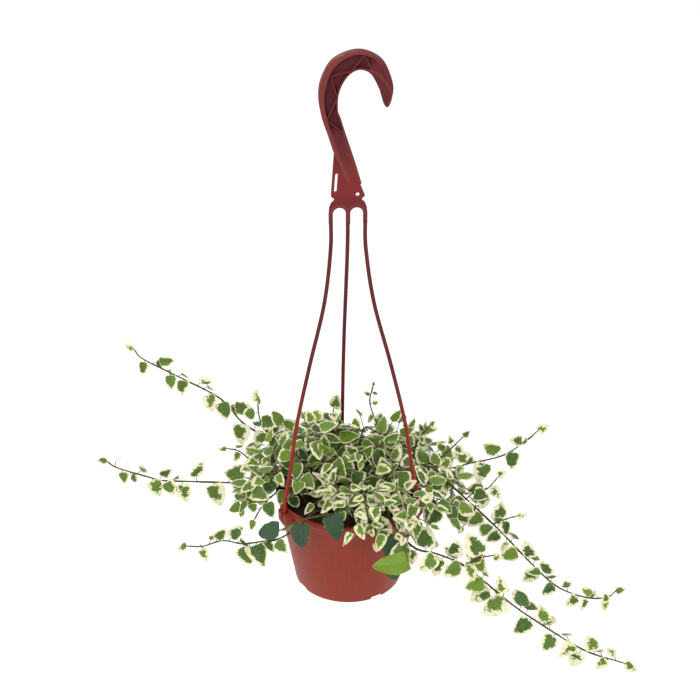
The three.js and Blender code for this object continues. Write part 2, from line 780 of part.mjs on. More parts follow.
function leafChunks(shape, root, owner) {
  const { collar, top, bottom, half } = shape;
  const halves = [[0, half + 1], [half, top.length]].map(([from, to]) =>
    [...collar, ...top.slice(from, to), ...bottom.slice(from, to)]);
  return [
    ...halves.map((points) => chunk(points, owner, LEAF_GAP)),
    chunk([...root, ...collar], owner, LEAF_GAP),
  ];
}

function stemChunks(line, owner) {
  const rings = line.places.map((_, index) => ringAt(line, index, 0));
  return rings.slice(1).map((ring, i) => chunk([...rings[i], ...ring], owner, LEAF_GAP));
}

// Finds a clear way for a stem and its side shoots, and takes the room for them
function layStem(plan) {
  const owner = plan.name + " wood";
  for (let attempt = 0; attempt < STEM_TRIES; attempt++) {
    const line = skeleton(stemPlaces(plan, attempt), plan.thick ?? STEM_BASE_RADIUS, STEM_TIP_RADIUS);
    const chunks = stemChunks(line, owner);
    if (!isClear(chunks.slice(1), () => false)) continue;
    if (!isClear(chunks.slice(0, 1), (other) => other.owner === "soil")) continue;
    taken.push(...chunks);
    const lines = [{ ...line, plan, number: 0, bare: plan.bare ?? BARE_LENGTH }];
    (plan.shoots ?? []).forEach((shoot, i) => {
      const shootLine = skeleton(shootPlaces(shoot, line.places), STEM_TIP_RADIUS + 0.1, STEM_TIP_RADIUS);
      const shootChunks = stemChunks(shootLine, owner);
      if (!isClear(shootChunks, (other) => other.owner === owner)) return;
      taken.push(...shootChunks);
      lines.push({ ...shootLine, plan, number: i + 1, bare: 0 });
    });
    return { plan, lines };
  }
  return null;
}

// One leaf that is clear of everything else, or nothing where no try fits
function fitLeaf(line, index) {
  const { name } = line.plan;
  const isTip = index === line.places.length - 1;
  for (let attempt = 0; attempt < LEAF_TRIES; attempt++) {
    const leaf = placeLeaf(line, index, attempt);
    const shape = leafShape(leaf);
    if (Math.min(...shape.bottom.map((point) => point.z)) < LOWEST_LEAF) continue;
    const corner = facingCorner(line, index, leaf.stalk);
    const [low, high] = [-NODE_HALF, NODE_HALF].map((shift) => ringAt(line, index, shift));
    const next = (corner + 1) % 3;
    const root = isTip ? ringAt(line, index, 0) : [low[corner], low[next], high[next]];
    const chunks = leafChunks(shape, root, name);
    if (!isClear([...chunks.slice(0, 2), chunk(shape.collar, name, LEAF_GAP)], () => false)) continue;
    if (!isClear(chunks.slice(2), (other) => other.owner === name + " wood")) continue;
    taken.push(...chunks);
    return { corner, shape };
  }
  return null;
}

// Grows the leaves of a stem and of its shoots
function leafOut({ lines }) {
  const solids = lines.map((line) => {
    const leaves = new Map();
    let travelled = 0;
    for (let index = 1; index < line.places.length; index++) {
      const step = line.places[index].distanceTo(line.places[index - 1]);
      travelled += index > 1 || line.number ? step : 0;
      const leaf = travelled < line.bare ? null : fitLeaf(line, index);
      if (leaf) leaves.set(index, leaf);
    }
    return stemSolid(line, leaves);
  });
  return joinAll(solids);
}

// Long runners, named for the side that they leave the pot on, thin upright sprigs, and tufts at the front
const RUNNERS = [
  {
    name: "runner_left_high", seed: 11, root: [-30, 26], leaf: 21.5, pace: 15.5, petiole: 4, habit: RUNNER,
    through: [[-56, 50, 122], [-84, 76, 126], [-107, 92, 136], [-129, 107, 157], [-168, 123, 174],
      [-209, 139, 191], [-218, 143, 200]],
  },
  {
    name: "runner_left_level", seed: 12, root: [-38, 2], leaf: 23, pace: 16, petiole: 4, habit: RUNNER,
    through: [[-62, 6, 119], [-84, 11, 108], [-122, 23, 104], [-164, 32, 102], [-191, 39, 100],
      [-209, 44, 103], [-239, 51, 111], [-248, 53, 117]],
  },
  {
    name: "runner_left_low", seed: 13, root: [-24, -36], leaf: 22, pace: 15, petiole: 4, habit: RUNNER,
    bare: 98,
    through: [[-38, -58, 119], [-56, -75, 113], [-76, -78, 102], [-92, -71, 95], [-112, -62, 87],
      [-131, -55, 87], [-151, -49, 77], [-166, -45, 75]],
  },
  {
    name: "runner_right_high", seed: 14, root: [34, 22], leaf: 22.5, pace: 16, petiole: 4, habit: RUNNER,
    through: [[62, 32, 121], [84, 35, 112], [108, 36, 100], [134, 38, 104], [169, 41, 110], [196, 45, 126],
      [205, 47, 134]],
  },
  {
    name: "runner_right_long", seed: 15, root: [36, -4], leaf: 20, pace: 13, petiole: 4, habit: RUNNER,
    through: [[60, -4, 120], [84, -4, 118], [101, -3, 110], [119, -10, 95], [154, -30, 65], [188, -56, 35],
      [211, -74, 20], [238, -88, 16], [258, -92, 18], [264, -94, 26]],
    shoots: [
      { from: 0.36, pace: 10, through: [[9, 2, 6], [22, 3, 9], [33, 6, 20]] },
      { from: 0.5, pace: 10, through: [[10, -4, 8], [22, -6, 13]] },
      { from: 0.42, pace: 10, through: [[-3, -4, -10], [-12, -4, -20]] },
      { from: 0.3, pace: 10, through: [[-2, -5, -12], [-12, -8, -16]] },
    ],
  },
  {
    name: "runner_front_long", seed: 16, root: [18, -38], leaf: 23.5, pace: 14, petiole: 4, habit: RUNNER,
    through: [[30, -60, 120], [42, -84, 108], [58, -100, 98], [79, -110, 97], [105, -124, 90],
      [144, -142, 60], [170, -156, 45], [213, -180, 26], [248, -196, 21]],
    shoots: [{ from: 0.45, pace: 10, through: [[12, -3, 10], [26, -2, 12]] }],
  },
  {
    name: "green_stem_left", seed: 21, root: [-4, -54], leaf: 28, pace: 24, petiole: 5, look: "green",
    hand: -1, taper: 0.1,
    through: [[-7, -66, 119], [-24, -80, 130], [-50, -81, 126], [-73, -74, 110]],
  },
  {
    name: "green_stem_right", seed: 22, root: [28, -52], leaf: 28, pace: 20, petiole: 5, look: "green",
    hand: 1, taper: 0.1,
    through: [[32, -68, 117], [35, -84, 105], [36, -92, 86]],
  },
  {
    name: "sprig_rear_right", seed: 31, root: [24, 40], leaf: 11, pace: 10, petiole: 3, thick: 0.95,
    through: [[36, 54, 118], [40, 59, 134], [34, 59, 150], [28, 60, 172], [31, 60, 190]],
  },
  {
    name: "sprig_rear_left", seed: 32, root: [-34, 44], leaf: 19, pace: 10, petiole: 3.5, thick: 1, taper: 0.1,
    through: [[-62, 58, 124], [-80, 64, 137], [-88, 68, 154], [-91, 71, 170]],
  },
  {
    name: "sprig_left", seed: 33, root: [-46, 20], leaf: 16, pace: 12, petiole: 3.5, thick: 1,
    through: [[-70, 34, 118], [-92, 46, 110], [-110, 54, 122], [-122, 56, 125]],
  },
  {
    name: "sprig_rear", seed: 34, root: [-8, 46], leaf: 18, pace: 10, petiole: 4, thick: 1, taper: 0.1,
    through: [[-9, 58, 122], [-12, 62, 145], [-10, 62, 164]],
  },
  {
    name: "sprig_right_near", seed: 35, root: [44, 14], leaf: 14, pace: 10, petiole: 3, thick: 0.95,
    through: [[58, 24, 118], [70, 34, 128], [79, 35, 142], [88, 33, 156]],
  },
  {
    name: "sprig_right", seed: 36, root: [48, -10], leaf: 17, pace: 12, petiole: 4, thick: 1,
    through: [[68, 4, 122], [86, 16, 120], [102, 22, 126], [121, 19, 149]],
  },
  {
    name: "tuft_left", seed: 41, root: [-18, -30], leaf: 16.5, pace: 9, petiole: 2.5,
    through: [[-19, -35, 124], [-18, -46, 141], [-16, -61, 145], [-13, -75, 131]],
  },
  {
    name: "tuft_middle", seed: 43, root: [8, -36], leaf: 16, pace: 9.5, petiole: 2.5,
    through: [[8, -46, 122], [8, -60, 140], [10, -78, 139], [14, -94, 121]],
  },
  {
    name: "tuft_right", seed: 42, root: [36, -32], leaf: 16, pace: 9.5, petiole: 2.5,
    through: [[40, -44, 122], [45, -62, 138], [50, -82, 133], [56, -96, 113]],
  },
  {
    name: "front_stem", seed: 44, root: [12, -56], leaf: 17, pace: 11, petiole: 3, thick: 1,
    through: [[16, -69, 115], [19, -83, 116], [20, -93, 104]],
  },
  {
    name: "left_stem", seed: 45, root: [-42, -18], leaf: 18, pace: 11, petiole: 3.5, thick: 1,
    through: [[-54, -18, 117], [-72, -20, 119], [-88, -28, 110], [-98, -36, 98]],
  },
];

// The mound: rings of short stems that rise from the soil, lean outwards and hang. Rise and drop are counted
// from the soil. The mound is wide to its sides and short over the front of the pot.
const MOUND_RINGS = [
  {
    name: "trailing_stem", start: -24, arc: 228, count: 9,
    root: 54, reach: 46, rise: 27, drop: 32, pace: 12, leaf: 20.5,
  },
  {
    name: "mound_stem", start: -30, arc: 271, count: 7,
    root: 34, reach: 42, rise: 42, drop: 18, pace: 11.5, leaf: 20,
  },
  {
    name: "crown_stem", start: 68, arc: 360, count: 6,
    root: 14, reach: 30, rise: 60, drop: 10, pace: 11.5, leaf: 19.5,
  },
];
const SIDE_REACH = 14;
const FRONT_PULL = 14;
const LEFT_RISE = 0.2; // share that the mound is higher at its left
const FRONT_LIFT = 0.7; // share of the drop that a stem over the pot's front lacks
// Shares of a stem's reach, rise, sideways bend and drop at the points that it passes through
const MOUND_LINE = [
  [0.2, 0.8, 0, 0],
  [0.55, 1, 0.2, 0],
  [0.85, 0.92, 0.6, 0.35],
  [1, 1, 1, 1],
];

function moundPlans() {
  return MOUND_RINGS.flatMap((ring, row) => Array.from({ length: ring.count }, (_, i) => {
    const seed = 100 * (row + 1) + i;
    const vary = (channel) => 2 * draw(seed, channel) - 1;
    const turn = degrees(ring.start + (ring.arc * (i + 0.25 * vary(1))) / ring.count);
    const outward = new THREE.Vector3(Math.cos(turn), Math.sin(turn), 0);
    const aside = new THREE.Vector3(-Math.sin(turn), Math.cos(turn), 0);
    const root = ring.root + 3 * vary(2);
    const front = Math.max(0, -Math.sin(turn));
    const wide = SIDE_REACH * Math.cos(turn) ** 2 - FRONT_PULL * front;
    const reach = (ring.reach + wide) * (1 + 0.14 * vary(3));
    const rise = ring.rise * (1 + 0.12 * vary(4)) * (1 + LEFT_RISE * Math.max(0, -Math.cos(turn)));
    const drop = ring.drop * (1 + 0.35 * vary(5)) * (1 - FRONT_LIFT * front);
    const bend = 14 * vary(6);
    const through = MOUND_LINE.map(([out, up, side, down]) => {
      const place = outward.clone().multiplyScalar(root + reach * out).addScaledVector(aside, bend * side);
      return [place.x, place.y, soilTop(root) + rise * up - drop * down];
    });
    return {
      name: `${ring.name}_${String(i + 1).padStart(2, "0")}`,
      seed,
      root: [root * Math.cos(turn), root * Math.sin(turn)],
      leaf: ring.leaf * (1 + 0.08 * vary(7)),
      pace: ring.pace,
      petiole: 4,
      through,
    };
  }));
}

// Soil: a tapered plug that fills the pot, with a plain three-sided hole for each stem
function makeSoil(plans) {
  const floor = FLOOR_HEIGHT + FLOOR_THICKNESS + PLAY;
  const inner = (height) => wallRadius(height) - WALL - PLAY - 0.3;
  const plug = solidOf(turned([
    [0, floor],
    [inner(floor) - 2.6, floor],
    [inner(floor + 3), floor + 3],
    [inner(SOIL_EDGE), SOIL_EDGE - 1],
    [44, soilTop(44) - 0.3],
    [0, SOIL_CROWN],
  ], SOIL_SIDES));
  const holes = plans.map(({ root: [x, y] }) => {
    const bottom = soilTop(Math.hypot(x, y)) - STEM_HOLE_DEPTH;
    return solidOf(new THREE.CylinderGeometry(STEM_HOLE, STEM_HOLE, 30, 3)
      .rotateX(Math.PI / 2)
      .translate(x, y, bottom + 15));
  });
  return cutAll(plug, holes);
}

takeRoomForPot();
const plans = [...RUNNERS, ...moundPlans()];
const stems = plans.map(layStem).filter(Boolean);

const potted = new THREE.Group();
potted.add(meshOf("pot", makePot(), "pot"));
potted.add(meshOf("hanger", makeHanger(), "hanger"));
potted.add(meshOf("soil", makeSoil(stems.map(({ plan }) => plan)), "soil"));
for (const stem of stems) {
  potted.add(meshOf(stem.plan.name, leafOut(stem), stem.plan.look ?? "variegated"));
}
potted.position.copy(HANG_POINT).negate();

const plant = new THREE.Group();
plant.add(potted);

export default plant;
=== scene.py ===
# %% [markdown]
# # A variegated creeping fig in a hanging pot
#
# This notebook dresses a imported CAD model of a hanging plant: a terracotta plastic pot, a one-piece
# plastic hanger, the soil, and 41 leafy stems. Each CAD node is replaced by a finer surface of the same
# form. Lengths below are in the pot's own millimetres, with the pot's foot at height 0 and its axis at
# x = y = 0. The last step of every shape moves it into the frame, whose origin is the inner top of the
# hook.

# %% Load the frame
import bpy
import numpy as np
from mathutils import Matrix, Vector
from mathutils.kdtree import KDTree


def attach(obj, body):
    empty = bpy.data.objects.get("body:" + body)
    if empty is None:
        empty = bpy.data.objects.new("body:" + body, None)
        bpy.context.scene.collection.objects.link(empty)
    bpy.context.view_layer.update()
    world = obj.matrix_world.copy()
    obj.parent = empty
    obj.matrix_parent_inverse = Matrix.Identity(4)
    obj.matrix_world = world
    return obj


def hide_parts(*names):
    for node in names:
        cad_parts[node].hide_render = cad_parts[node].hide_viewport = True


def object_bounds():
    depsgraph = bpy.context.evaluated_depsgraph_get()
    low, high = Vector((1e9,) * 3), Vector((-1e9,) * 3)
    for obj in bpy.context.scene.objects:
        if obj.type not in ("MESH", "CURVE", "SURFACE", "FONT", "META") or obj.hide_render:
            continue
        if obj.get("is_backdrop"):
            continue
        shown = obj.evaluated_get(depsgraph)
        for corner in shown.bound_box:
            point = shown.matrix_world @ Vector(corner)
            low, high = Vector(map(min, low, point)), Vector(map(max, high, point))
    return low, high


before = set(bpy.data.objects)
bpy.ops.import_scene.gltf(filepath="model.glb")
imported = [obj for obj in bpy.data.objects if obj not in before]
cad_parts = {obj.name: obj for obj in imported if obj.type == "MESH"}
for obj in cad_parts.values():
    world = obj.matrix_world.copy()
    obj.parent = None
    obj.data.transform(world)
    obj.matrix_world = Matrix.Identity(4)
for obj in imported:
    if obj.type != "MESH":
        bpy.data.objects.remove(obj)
cad_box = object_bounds()
print("CAD box in metres:", [[round(c, 4) for c in corner] for corner in cad_box])

HANG_POINT = np.array([11.6, 0.0, 554.6])
UP = np.array([0, 0, 1.0])


def in_frame(points):
    """The pot's millimetres as the frame's metres: (point - hang point) / 1000."""
    return (np.asarray(points, float) - HANG_POINT) / 1000


# %% [markdown]
# ## Camera, light and floor
#
# The photograph looks down on the plant by 29 degrees from about 1.6 m away. A long lens keeps the pot's
# sides nearly straight. The light is that of a white studio: an even bright surrounding, a soft
# window-like key from the upper left, and a weaker one from the right that puts the sheen on the pot's
# other side.

# %% Camera
CAMERA_TURN = np.radians(-5)
CAMERA_TILT = np.radians(28.76)
CAMERA_ASIDE, CAMERA_BACK, CAMERA_UP = 0.0019, 1.302, 0.875
RIM_CENTRE = in_frame([0, 0, 108])
sideways = np.array([np.cos(CAMERA_TURN), np.sin(CAMERA_TURN), 0])
forwards = np.array([-np.sin(CAMERA_TURN), np.cos(CAMERA_TURN), 0])
sight = forwards * np.cos(CAMERA_TILT) - UP * np.sin(CAMERA_TILT)

camera = bpy.data.objects.new("camera", bpy.data.cameras.new("camera"))
camera.data.sensor_width = 36
camera.data.lens = 77.76
camera.data.clip_end = 60
place = Matrix.Identity(4)
for index, axis in enumerate((sideways, np.cross(sideways, sight), -sight)):
    place.col[index] = (*axis, 0)
place.translation = Vector(RIM_CENTRE + CAMERA_ASIDE * sideways - CAMERA_BACK * forwards + CAMERA_UP * UP)
camera.matrix_world = place
bpy.context.scene.collection.objects.link(camera)
bpy.context.scene.camera = camera
bpy.context.scene.view_settings.view_transform = "Standard"
print("camera at", [round(c, 3) for c in camera.matrix_world.translation])


# %% Softboxes, surroundings and floor
def softbox(name, spot, aim, size, watts):
    """A square area light at a spot, turned so that its front looks at the aim."""
    light = bpy.data.objects.new(name, bpy.data.lights.new(name, "AREA"))
    light.data.size = size
    light.data.energy = watts
    look = Vector(aim) - Vector(spot)
    light.matrix_world = Matrix.Translation(spot) @ look.to_track_quat("-Z", "Y").to_matrix().to_4x4()
    bpy.context.scene.collection.objects.link(light)


aim = (0, 0, -0.38)
softbox("key softbox", (-1.1, -1.5, 1.1), aim, 0.9, 20)
softbox("side softbox", (1.7, -0.7, 0.3), aim, 0.9, 6)
softbox("back softbox", (-0.4, 1.6, 0.9), aim, 0.8, 8)

world = bpy.context.scene.world or bpy.data.worlds.new("studio")
bpy.context.scene.world = world
world.use_nodes = True
background = world.node_tree.nodes["Background"]
background.inputs["Color"].default_value = (1, 1, 1, 1)
background.inputs["Strength"].default_value = 1.02
print("lights:", len(bpy.data.lights))


# %% Small helpers for materials
def paint(red, green, blue):
    """A screen colour of three numbers up to 255 as the linear colour that shaders mix."""
    share = np.array([red, green, blue]) / 255
    linear = np.where(share < 0.04045, share / 12.92, ((share + 0.055) / 1.055) ** 2.4)
    return (*linear.tolist(), 1)


def start_material(name):
    """A new material, with its node tree and its main shader."""
    material = bpy.data.materials.new(name)
    material.use_nodes = True
    return material, material.node_tree, material.node_tree.nodes["Principled BSDF"]


def plug(tree, value, socket):
    """Sets an input to a value, or links the output of another node to it."""
    if isinstance(value, bpy.types.NodeSocket):
        tree.links.new(value, socket)
    else:
        socket.default_value = value


def wire(tree, kind, inputs, **settings):
    """Adds a node. Each input, by name or number, gets a value or the output of another node."""
    node = tree.nodes.new(kind)
    for key, value in settings.items():
        setattr(node, key, value)
    for key, value in inputs.items():
        plug(tree, value, node.inputs[key])
    return node


def calc(tree, operation, *values):
    """One step of arithmetic on numbers and outputs."""
    return wire(tree, "ShaderNodeMath", dict(enumerate(values)), operation=operation).outputs[0]


def times(tree, first, second):
    """The product of two numbers or outputs."""
    return calc(tree, "MULTIPLY", first, second)


def layered(tree, colour, *layers):
    """A colour with others laid over it in turn. A layer is (share, colour) and covers by its share."""
    for share, over in layers:
        colour = wire(tree, "ShaderNodeMix", {0: share, 6: colour, 7: over}, data_type="RGBA").outputs[2]
    return colour


def spots(tree, vector, scale, detail, roughness=0.55):
    """Cloudy noise from 0 to 1."""
    inputs = {"Vector": vector, "Scale": scale, "Detail": detail, "Roughness": roughness}
    return wire(tree, "ShaderNodeTexNoise", inputs).outputs["Fac"]


def spread(tree, value, low, high, to_low=0.0, to_high=1.0):
    """Stretches the stretch low..high of a value to to_low..to_high, and clamps it there."""
    inputs = {"Value": value, "From Min": low, "From Max": high, "To Min": to_low, "To Max": to_high}
    return wire(tree, "ShaderNodeMapRange", inputs).outputs["Result"]


def drawn_out(tree, vector, scale):
    """A place times three factors. Noise read there is drawn out along the axis with the smallest one."""
    return wire(tree, "ShaderNodeMapping", {"Vector": vector, "Scale": scale}).outputs[0]


def object_place(tree):
    """A point's place in the piece's own coordinates, in metres."""
    return wire(tree, "ShaderNodeTexCoord", {}).outputs["Object"]


def attribute(tree, name):
    """A number that the mesh stores at each point."""
    return wire(tree, "ShaderNodeAttribute", {}, attribute_name=name).outputs["Fac"]


def relief(tree, surface, height, distance, strength=1.0):
    """Bumps the surface by a height from 0 to 1, where 1 stands the distance proud."""
    bump = wire(tree, "ShaderNodeBump", {"Height": height, "Distance": distance, "Strength": strength})
    tree.links.new(bump.outputs["Normal"], surface.inputs["Normal"])


def finish_surface(tree, surface, colour, roughness, specular):
    """Gives the main shader its colour, roughness and sheen."""
    for name, value in (("Base Color", colour), ("Roughness", roughness), ("Specular IOR Level", specular)):
        plug(tree, value, surface.inputs[name])


# %% Small helpers for meshes
def build_mesh(name, points, face_sets, paints=(), materials=(), sharp=35):
    """Makes an object from points in metres and a list of face arrays, each with rows of 3 or more corners.
    paints gives a material number for each face array. Edges sharper than the angle stay crisp."""
    mesh = bpy.data.meshes.new(name)
    loops = np.concatenate([faces.ravel() for faces in face_sets]).astype(np.int32)
    sizes = np.concatenate([np.full(len(faces), faces.shape[1]) for faces in face_sets])
    starts = np.concatenate([[0], np.cumsum(sizes)[:-1]]).astype(np.int32)
    mesh.vertices.add(len(points))
    mesh.vertices.foreach_set("co", np.ascontiguousarray(points, np.float32).ravel())
    mesh.loops.add(len(loops))
    mesh.loops.foreach_set("vertex_index", loops)
    mesh.polygons.add(len(sizes))
    mesh.polygons.foreach_set("loop_start", starts)
    for material in materials:
        mesh.materials.append(material)
    if len(paints):
        numbers = np.concatenate([np.full(len(f), p) for f, p in zip(face_sets, paints)])
        mesh.polygons.foreach_set("material_index", numbers.astype(np.int32))
    mesh.update(calc_edges=True)
    mesh.polygons.foreach_set("use_smooth", np.ones(len(sizes), bool))
    mesh.set_sharp_from_angle(angle=np.radians(sharp))
    piece = bpy.data.objects.new(name, mesh)
    bpy.context.scene.collection.objects.link(piece)
    return piece


def mark_points(piece, name, values):
    """Stores one number a point, under a name that a material reads."""
    piece.data.attributes.new(name, "FLOAT", "POINT").data.foreach_set("value", values.astype(np.float32))


def circle_turns(count):
    """The angles of even steps round a circle."""
    return 2 * np.pi * np.arange(count) / count


def walls(ids):
    """The faces with four corners between rings of point numbers, (..., ring, point)."""
    after = np.roll(ids, -1, axis=-1)
    corners = [ids[..., :-1, :], after[..., :-1, :], after[..., 1:, :], ids[..., 1:, :]]
    return np.stack(corners, axis=-1).reshape(-1, 4)


def lofted(sections):
    """Closed rings of points joined in order, with a flat face at each end. sections is (rings, points, 3).
    The rings turn anticlockwise when seen from the far end, so that faces look outwards."""
    ids = np.arange(sections[..., 0].size).reshape(sections.shape[:2])
    return sections.reshape(-1, 3), [walls(ids), ids[:1, ::-1], ids[-1:]]


def revolved(profile, count):
    """A surface of revolution about Z: ring i has radius r_i and height h_i, and point j of it stands at the
    turn 2 pi j / count. The first and last rows lie on the axis, and are one point each."""
    profile = np.asarray(profile, float)
    turns = circle_turns(count)
    radius, height = profile[1:-1, 0, None], profile[1:-1, 1, None]
    rings = np.stack([radius * np.cos(turns), radius * np.sin(turns), height + 0 * turns], axis=-1)
    ids = np.arange(rings.shape[0] * count).reshape(-1, count)
    fans = np.concatenate([
        np.stack([np.full(count, ids.size), np.roll(ids[0], -1), ids[0]], axis=-1),
        np.stack([ids[-1], np.roll(ids[-1], -1), np.full(count, ids.size + 1)], axis=-1),
    ])
    poles = [[0, 0, profile[0, 1]], [0, 0, profile[-1, 1]]]
    return np.vstack([rings.reshape(-1, 3), poles]), [walls(ids), fans]


def softened(outline, reach, closed=False):
    """Rounds the corners of an outline: corner P between A and B becomes the parabola from a point at the
    reach before P to one at the reach after it, (1-u)^2 S + 2u(1-u) P + u^2 E."""
    points = np.asarray(outline, float)
    ends = []
    for neighbours in (np.roll(points, 1, axis=0), np.roll(points, -1, axis=0)):
        away = neighbours - points
        length = np.linalg.norm(away, axis=1, keepdims=True)
        ends.append(points + away * np.minimum(reach / np.maximum(length, 1e-9), 0.45))
    start, end = ends
    u = np.linspace(0, 1, 4)[None, :, None]
    arcs = (1 - u) ** 2 * start[:, None] + 2 * u * (1 - u) * points[:, None] + u**2 * end[:, None]
    if closed:
        return arcs.reshape(-1, points.shape[1])
    return np.vstack([points[:1], arcs[1:-1].reshape(-1, points.shape[1]), points[-1:]])


def unit(vectors):
    """Vectors of length 1."""
    return vectors / np.maximum(np.linalg.norm(vectors, axis=-1, keepdims=True), 1e-12)


def eased(share):
    """A smooth step from 0 to 1."""
    share = np.clip(share, 0, 1)
    return share * share * (3 - 2 * share)


def ball(share):
    """How far a ball's outline has risen at a share of its radius. It starts just above 0."""
    return np.sqrt(np.clip(1 - (1 - np.clip(share, 0.02, 1)) ** 2, 0, 1))


def upright(flat, y):
    """Points (x, z) of an upright plane, at the depth y."""
    return np.stack([flat[..., 0], np.broadcast_to(y, flat.shape[:-1]), flat[..., 1]], axis=-1)


# %% Floor
FLOOR_HALF, FLOOR_UNDER_POT = 14, 700
floor_material, tree, surface = start_material("pale floor")
finish_surface(tree, surface, (0.98, 0.98, 0.98, 1), 0.9, 0)
corners = FLOOR_HALF * np.array([[-1, -1, 0], [1, -1, 0], [1, 1, 0], [-1, 1, 0]])
corners = corners + [0, 0, in_frame([0, 0, -FLOOR_UNDER_POT])[2]]
floor = build_mesh("floor", corners, [np.array([[0, 1, 2, 3]])], materials=[floor_material])
floor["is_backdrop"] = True
print("floor height in metres:", round(float(corners[0, 2]), 3))

# %% [markdown]
# ## Pot
#
# The pot is injection-moulded: a tapered wall with a rolled lip, three lugs that take the hanger's feet,
# and a foot ring with drain notches. A surface of revolution gives the body. The lugs are lofted as
# tongues that run out into the wall. What a mould's cores take away, the inside, the seats and the
# drains, is cut from it with exact Booleans, because their edges are crisp on the real pot too.

# %% Measures of the pot
POT_HEIGHT, RIM_RADIUS, NECK_RADIUS, FOOT_RADIUS = 108, 75, 73.4, 56
WALL, LIP_HEIGHT, FLOOR_HEIGHT, FLOOR_THICKNESS, FOOT_RING = 1.8, 6, 4, 2.5, 2.6
LUG_TOP, LUG_HEIGHT, LUG_REACH, LUG_BACK, ARM_SEAT = 106.5, 22, 81.5, 60, 77.6
SEAT_DEPTH, ARM_FOOT_HEIGHT, ARM_FOOT_WIDTH, ARM_FOOT_DEPTH, ARM_FOOT_PLAY = 9, 7, 7.8, 3.4, 0.35
DRAIN_COUNT, DRAIN_CIRCLE, DRAIN_RADIUS = 5, 36, 3.5
# Turns in degrees from the front, anticlockwise as seen from above: the right, rear and left arm.
ARM_TURNS = [60, 180, -60]
NOTCH_TURNS = [27, 117, 207, 297]


def wall_radius(height):
    """The outer radius of the straight, tapered wall at a height."""
    return FOOT_RADIUS + (NECK_RADIUS - FOOT_RADIUS) * height / (POT_HEIGHT - LIP_HEIGHT)


def turned_about_axis(points, degrees):
    """Points turned anticlockwise about the pot's axis."""
    angle = np.radians(degrees)
    spin = np.array([[np.cos(angle), np.sin(angle), 0], [-np.sin(angle), np.cos(angle), 0], [0, 0, 1]])
    return points @ spin


def block(width, depth, low, high, y, bevel=0.4):
    """A box about the plane x = 0, centred on the depth y, with softened upright corners."""
    w, d = width / 2, depth / 2
    ring = softened([[-w, -d], [w, -d], [w, d], [-w, d]], bevel, closed=True)
    ring = np.hstack([ring + [0, y], np.zeros((len(ring), 1))])
    return np.stack([ring + [0, 0, low], ring + [0, 0, high]])


# %% Lug
def lug_sections():
    """A tongue with half width h and reach R at height share v, 0 at its foot and 1 at its top. h grows as
    3 + 7 (v / 0.59)^0.7 up to 10 mm, and R from just off the wall to its full reach by v = 0.5. A level
    section is a box with rounded corners, |x/h|^5 + |y/d|^5 = 1."""
    share = np.array([0, 0.02, 0.05, 0.1, 0.16, 0.24, 0.33, 0.42, 0.5, 0.59, 0.75, 0.93, 0.98, 1.0])
    height = LUG_TOP - LUG_HEIGHT * (1 - share)
    half = 3 + 7 * np.minimum(share / 0.59, 1) ** 0.7
    base = wall_radius(height) + 0.6
    reach = base + (LUG_REACH - base) * np.minimum(share / 0.5, 1) ** 0.55
    trim = np.interp(share, [0.93, 0.98, 1], [0, 0.2, 0.9])
    turn = circle_turns(36)
    x, y = (np.sign(part) * np.abs(part) ** (2 / 5) for part in (np.cos(turn), np.sin(turn)))
    middle, depth = -(reach + LUG_BACK) / 2, (reach - LUG_BACK) / 2
    return np.stack([
        (half - trim)[:, None] * x,
        middle[:, None] + (depth - trim)[:, None] * y,
        height[:, None] + 0 * x,
    ], axis=-1)


lugs = [lofted(turned_about_axis(lug_sections(), turn)) for turn in ARM_TURNS]
print("lug rings and points:", lug_sections().shape[:2])

# %% [markdown]
# A Boolean works on whole objects, so each cutter becomes one for a moment. The helper below joins some
# shapes to a base, cuts others out of it and keeps only the finished mesh.

# %% Join and cut
CRISP_ANGLE = 32


def join_and_cut(name, base, joined, removed, materials):
    """base plus the joined shapes, less the removed ones, by exact Booleans. Shapes are (points, faces)."""
    piece = build_mesh(name, in_frame(base[0]), base[1], materials=materials)
    helpers = []
    for operation, shapes in (("UNION", joined), ("DIFFERENCE", removed)):
        if not shapes:
            continue
        group = bpy.data.collections.new(name + " " + operation.lower())
        for points, faces in shapes:
            helper = build_mesh("cutter", in_frame(points), faces, materials=materials)
            bpy.context.scene.collection.objects.unlink(helper)
            group.objects.link(helper)
            helpers.append(helper)
        boolean = piece.modifiers.new(operation.lower(), "BOOLEAN")
        boolean.operation = operation
        boolean.operand_type = "COLLECTION"
        boolean.collection = group
        boolean.solver = "EXACT"
    scene_state = bpy.context.evaluated_depsgraph_get()
    finished = bpy.data.meshes.new_from_object(piece.evaluated_get(scene_state))
    piece.modifiers.clear()
    piece.data = finished
    finished.name = name
    finished.set_sharp_from_angle(angle=np.radians(CRISP_ANGLE))
    for helper in helpers:
        bpy.data.objects.remove(helper)
    print(name, "has", len(finished.polygons), "faces")
    return piece


# %% Outside, inside and cutters
lip = POT_HEIGHT - LIP_HEIGHT
outside = softened([
    [0, 0], [FOOT_RADIUS - 1.4, 0], [FOOT_RADIUS, 1.6], [wall_radius(50), 50], [NECK_RADIUS, lip - 1],
    [RIM_RADIUS, lip + 0.6], [RIM_RADIUS, POT_HEIGHT], [RIM_RADIUS - 3, POT_HEIGHT], [0, POT_HEIGHT],
], 1.1)
floor_top = FLOOR_HEIGHT + FLOOR_THICKNESS
inner_neck, inner_foot = NECK_RADIUS - WALL, FOOT_RADIUS - FOOT_RING
inside = softened([
    [0, floor_top], [wall_radius(floor_top) - WALL - 2, floor_top],
    [wall_radius(floor_top + 2) - WALL, floor_top + 2], [inner_neck, lip],
    [inner_neck + 0.2, POT_HEIGHT - 1], [inner_neck + 1.2, POT_HEIGHT + 1], [0, POT_HEIGHT + 1],
], 0.8)
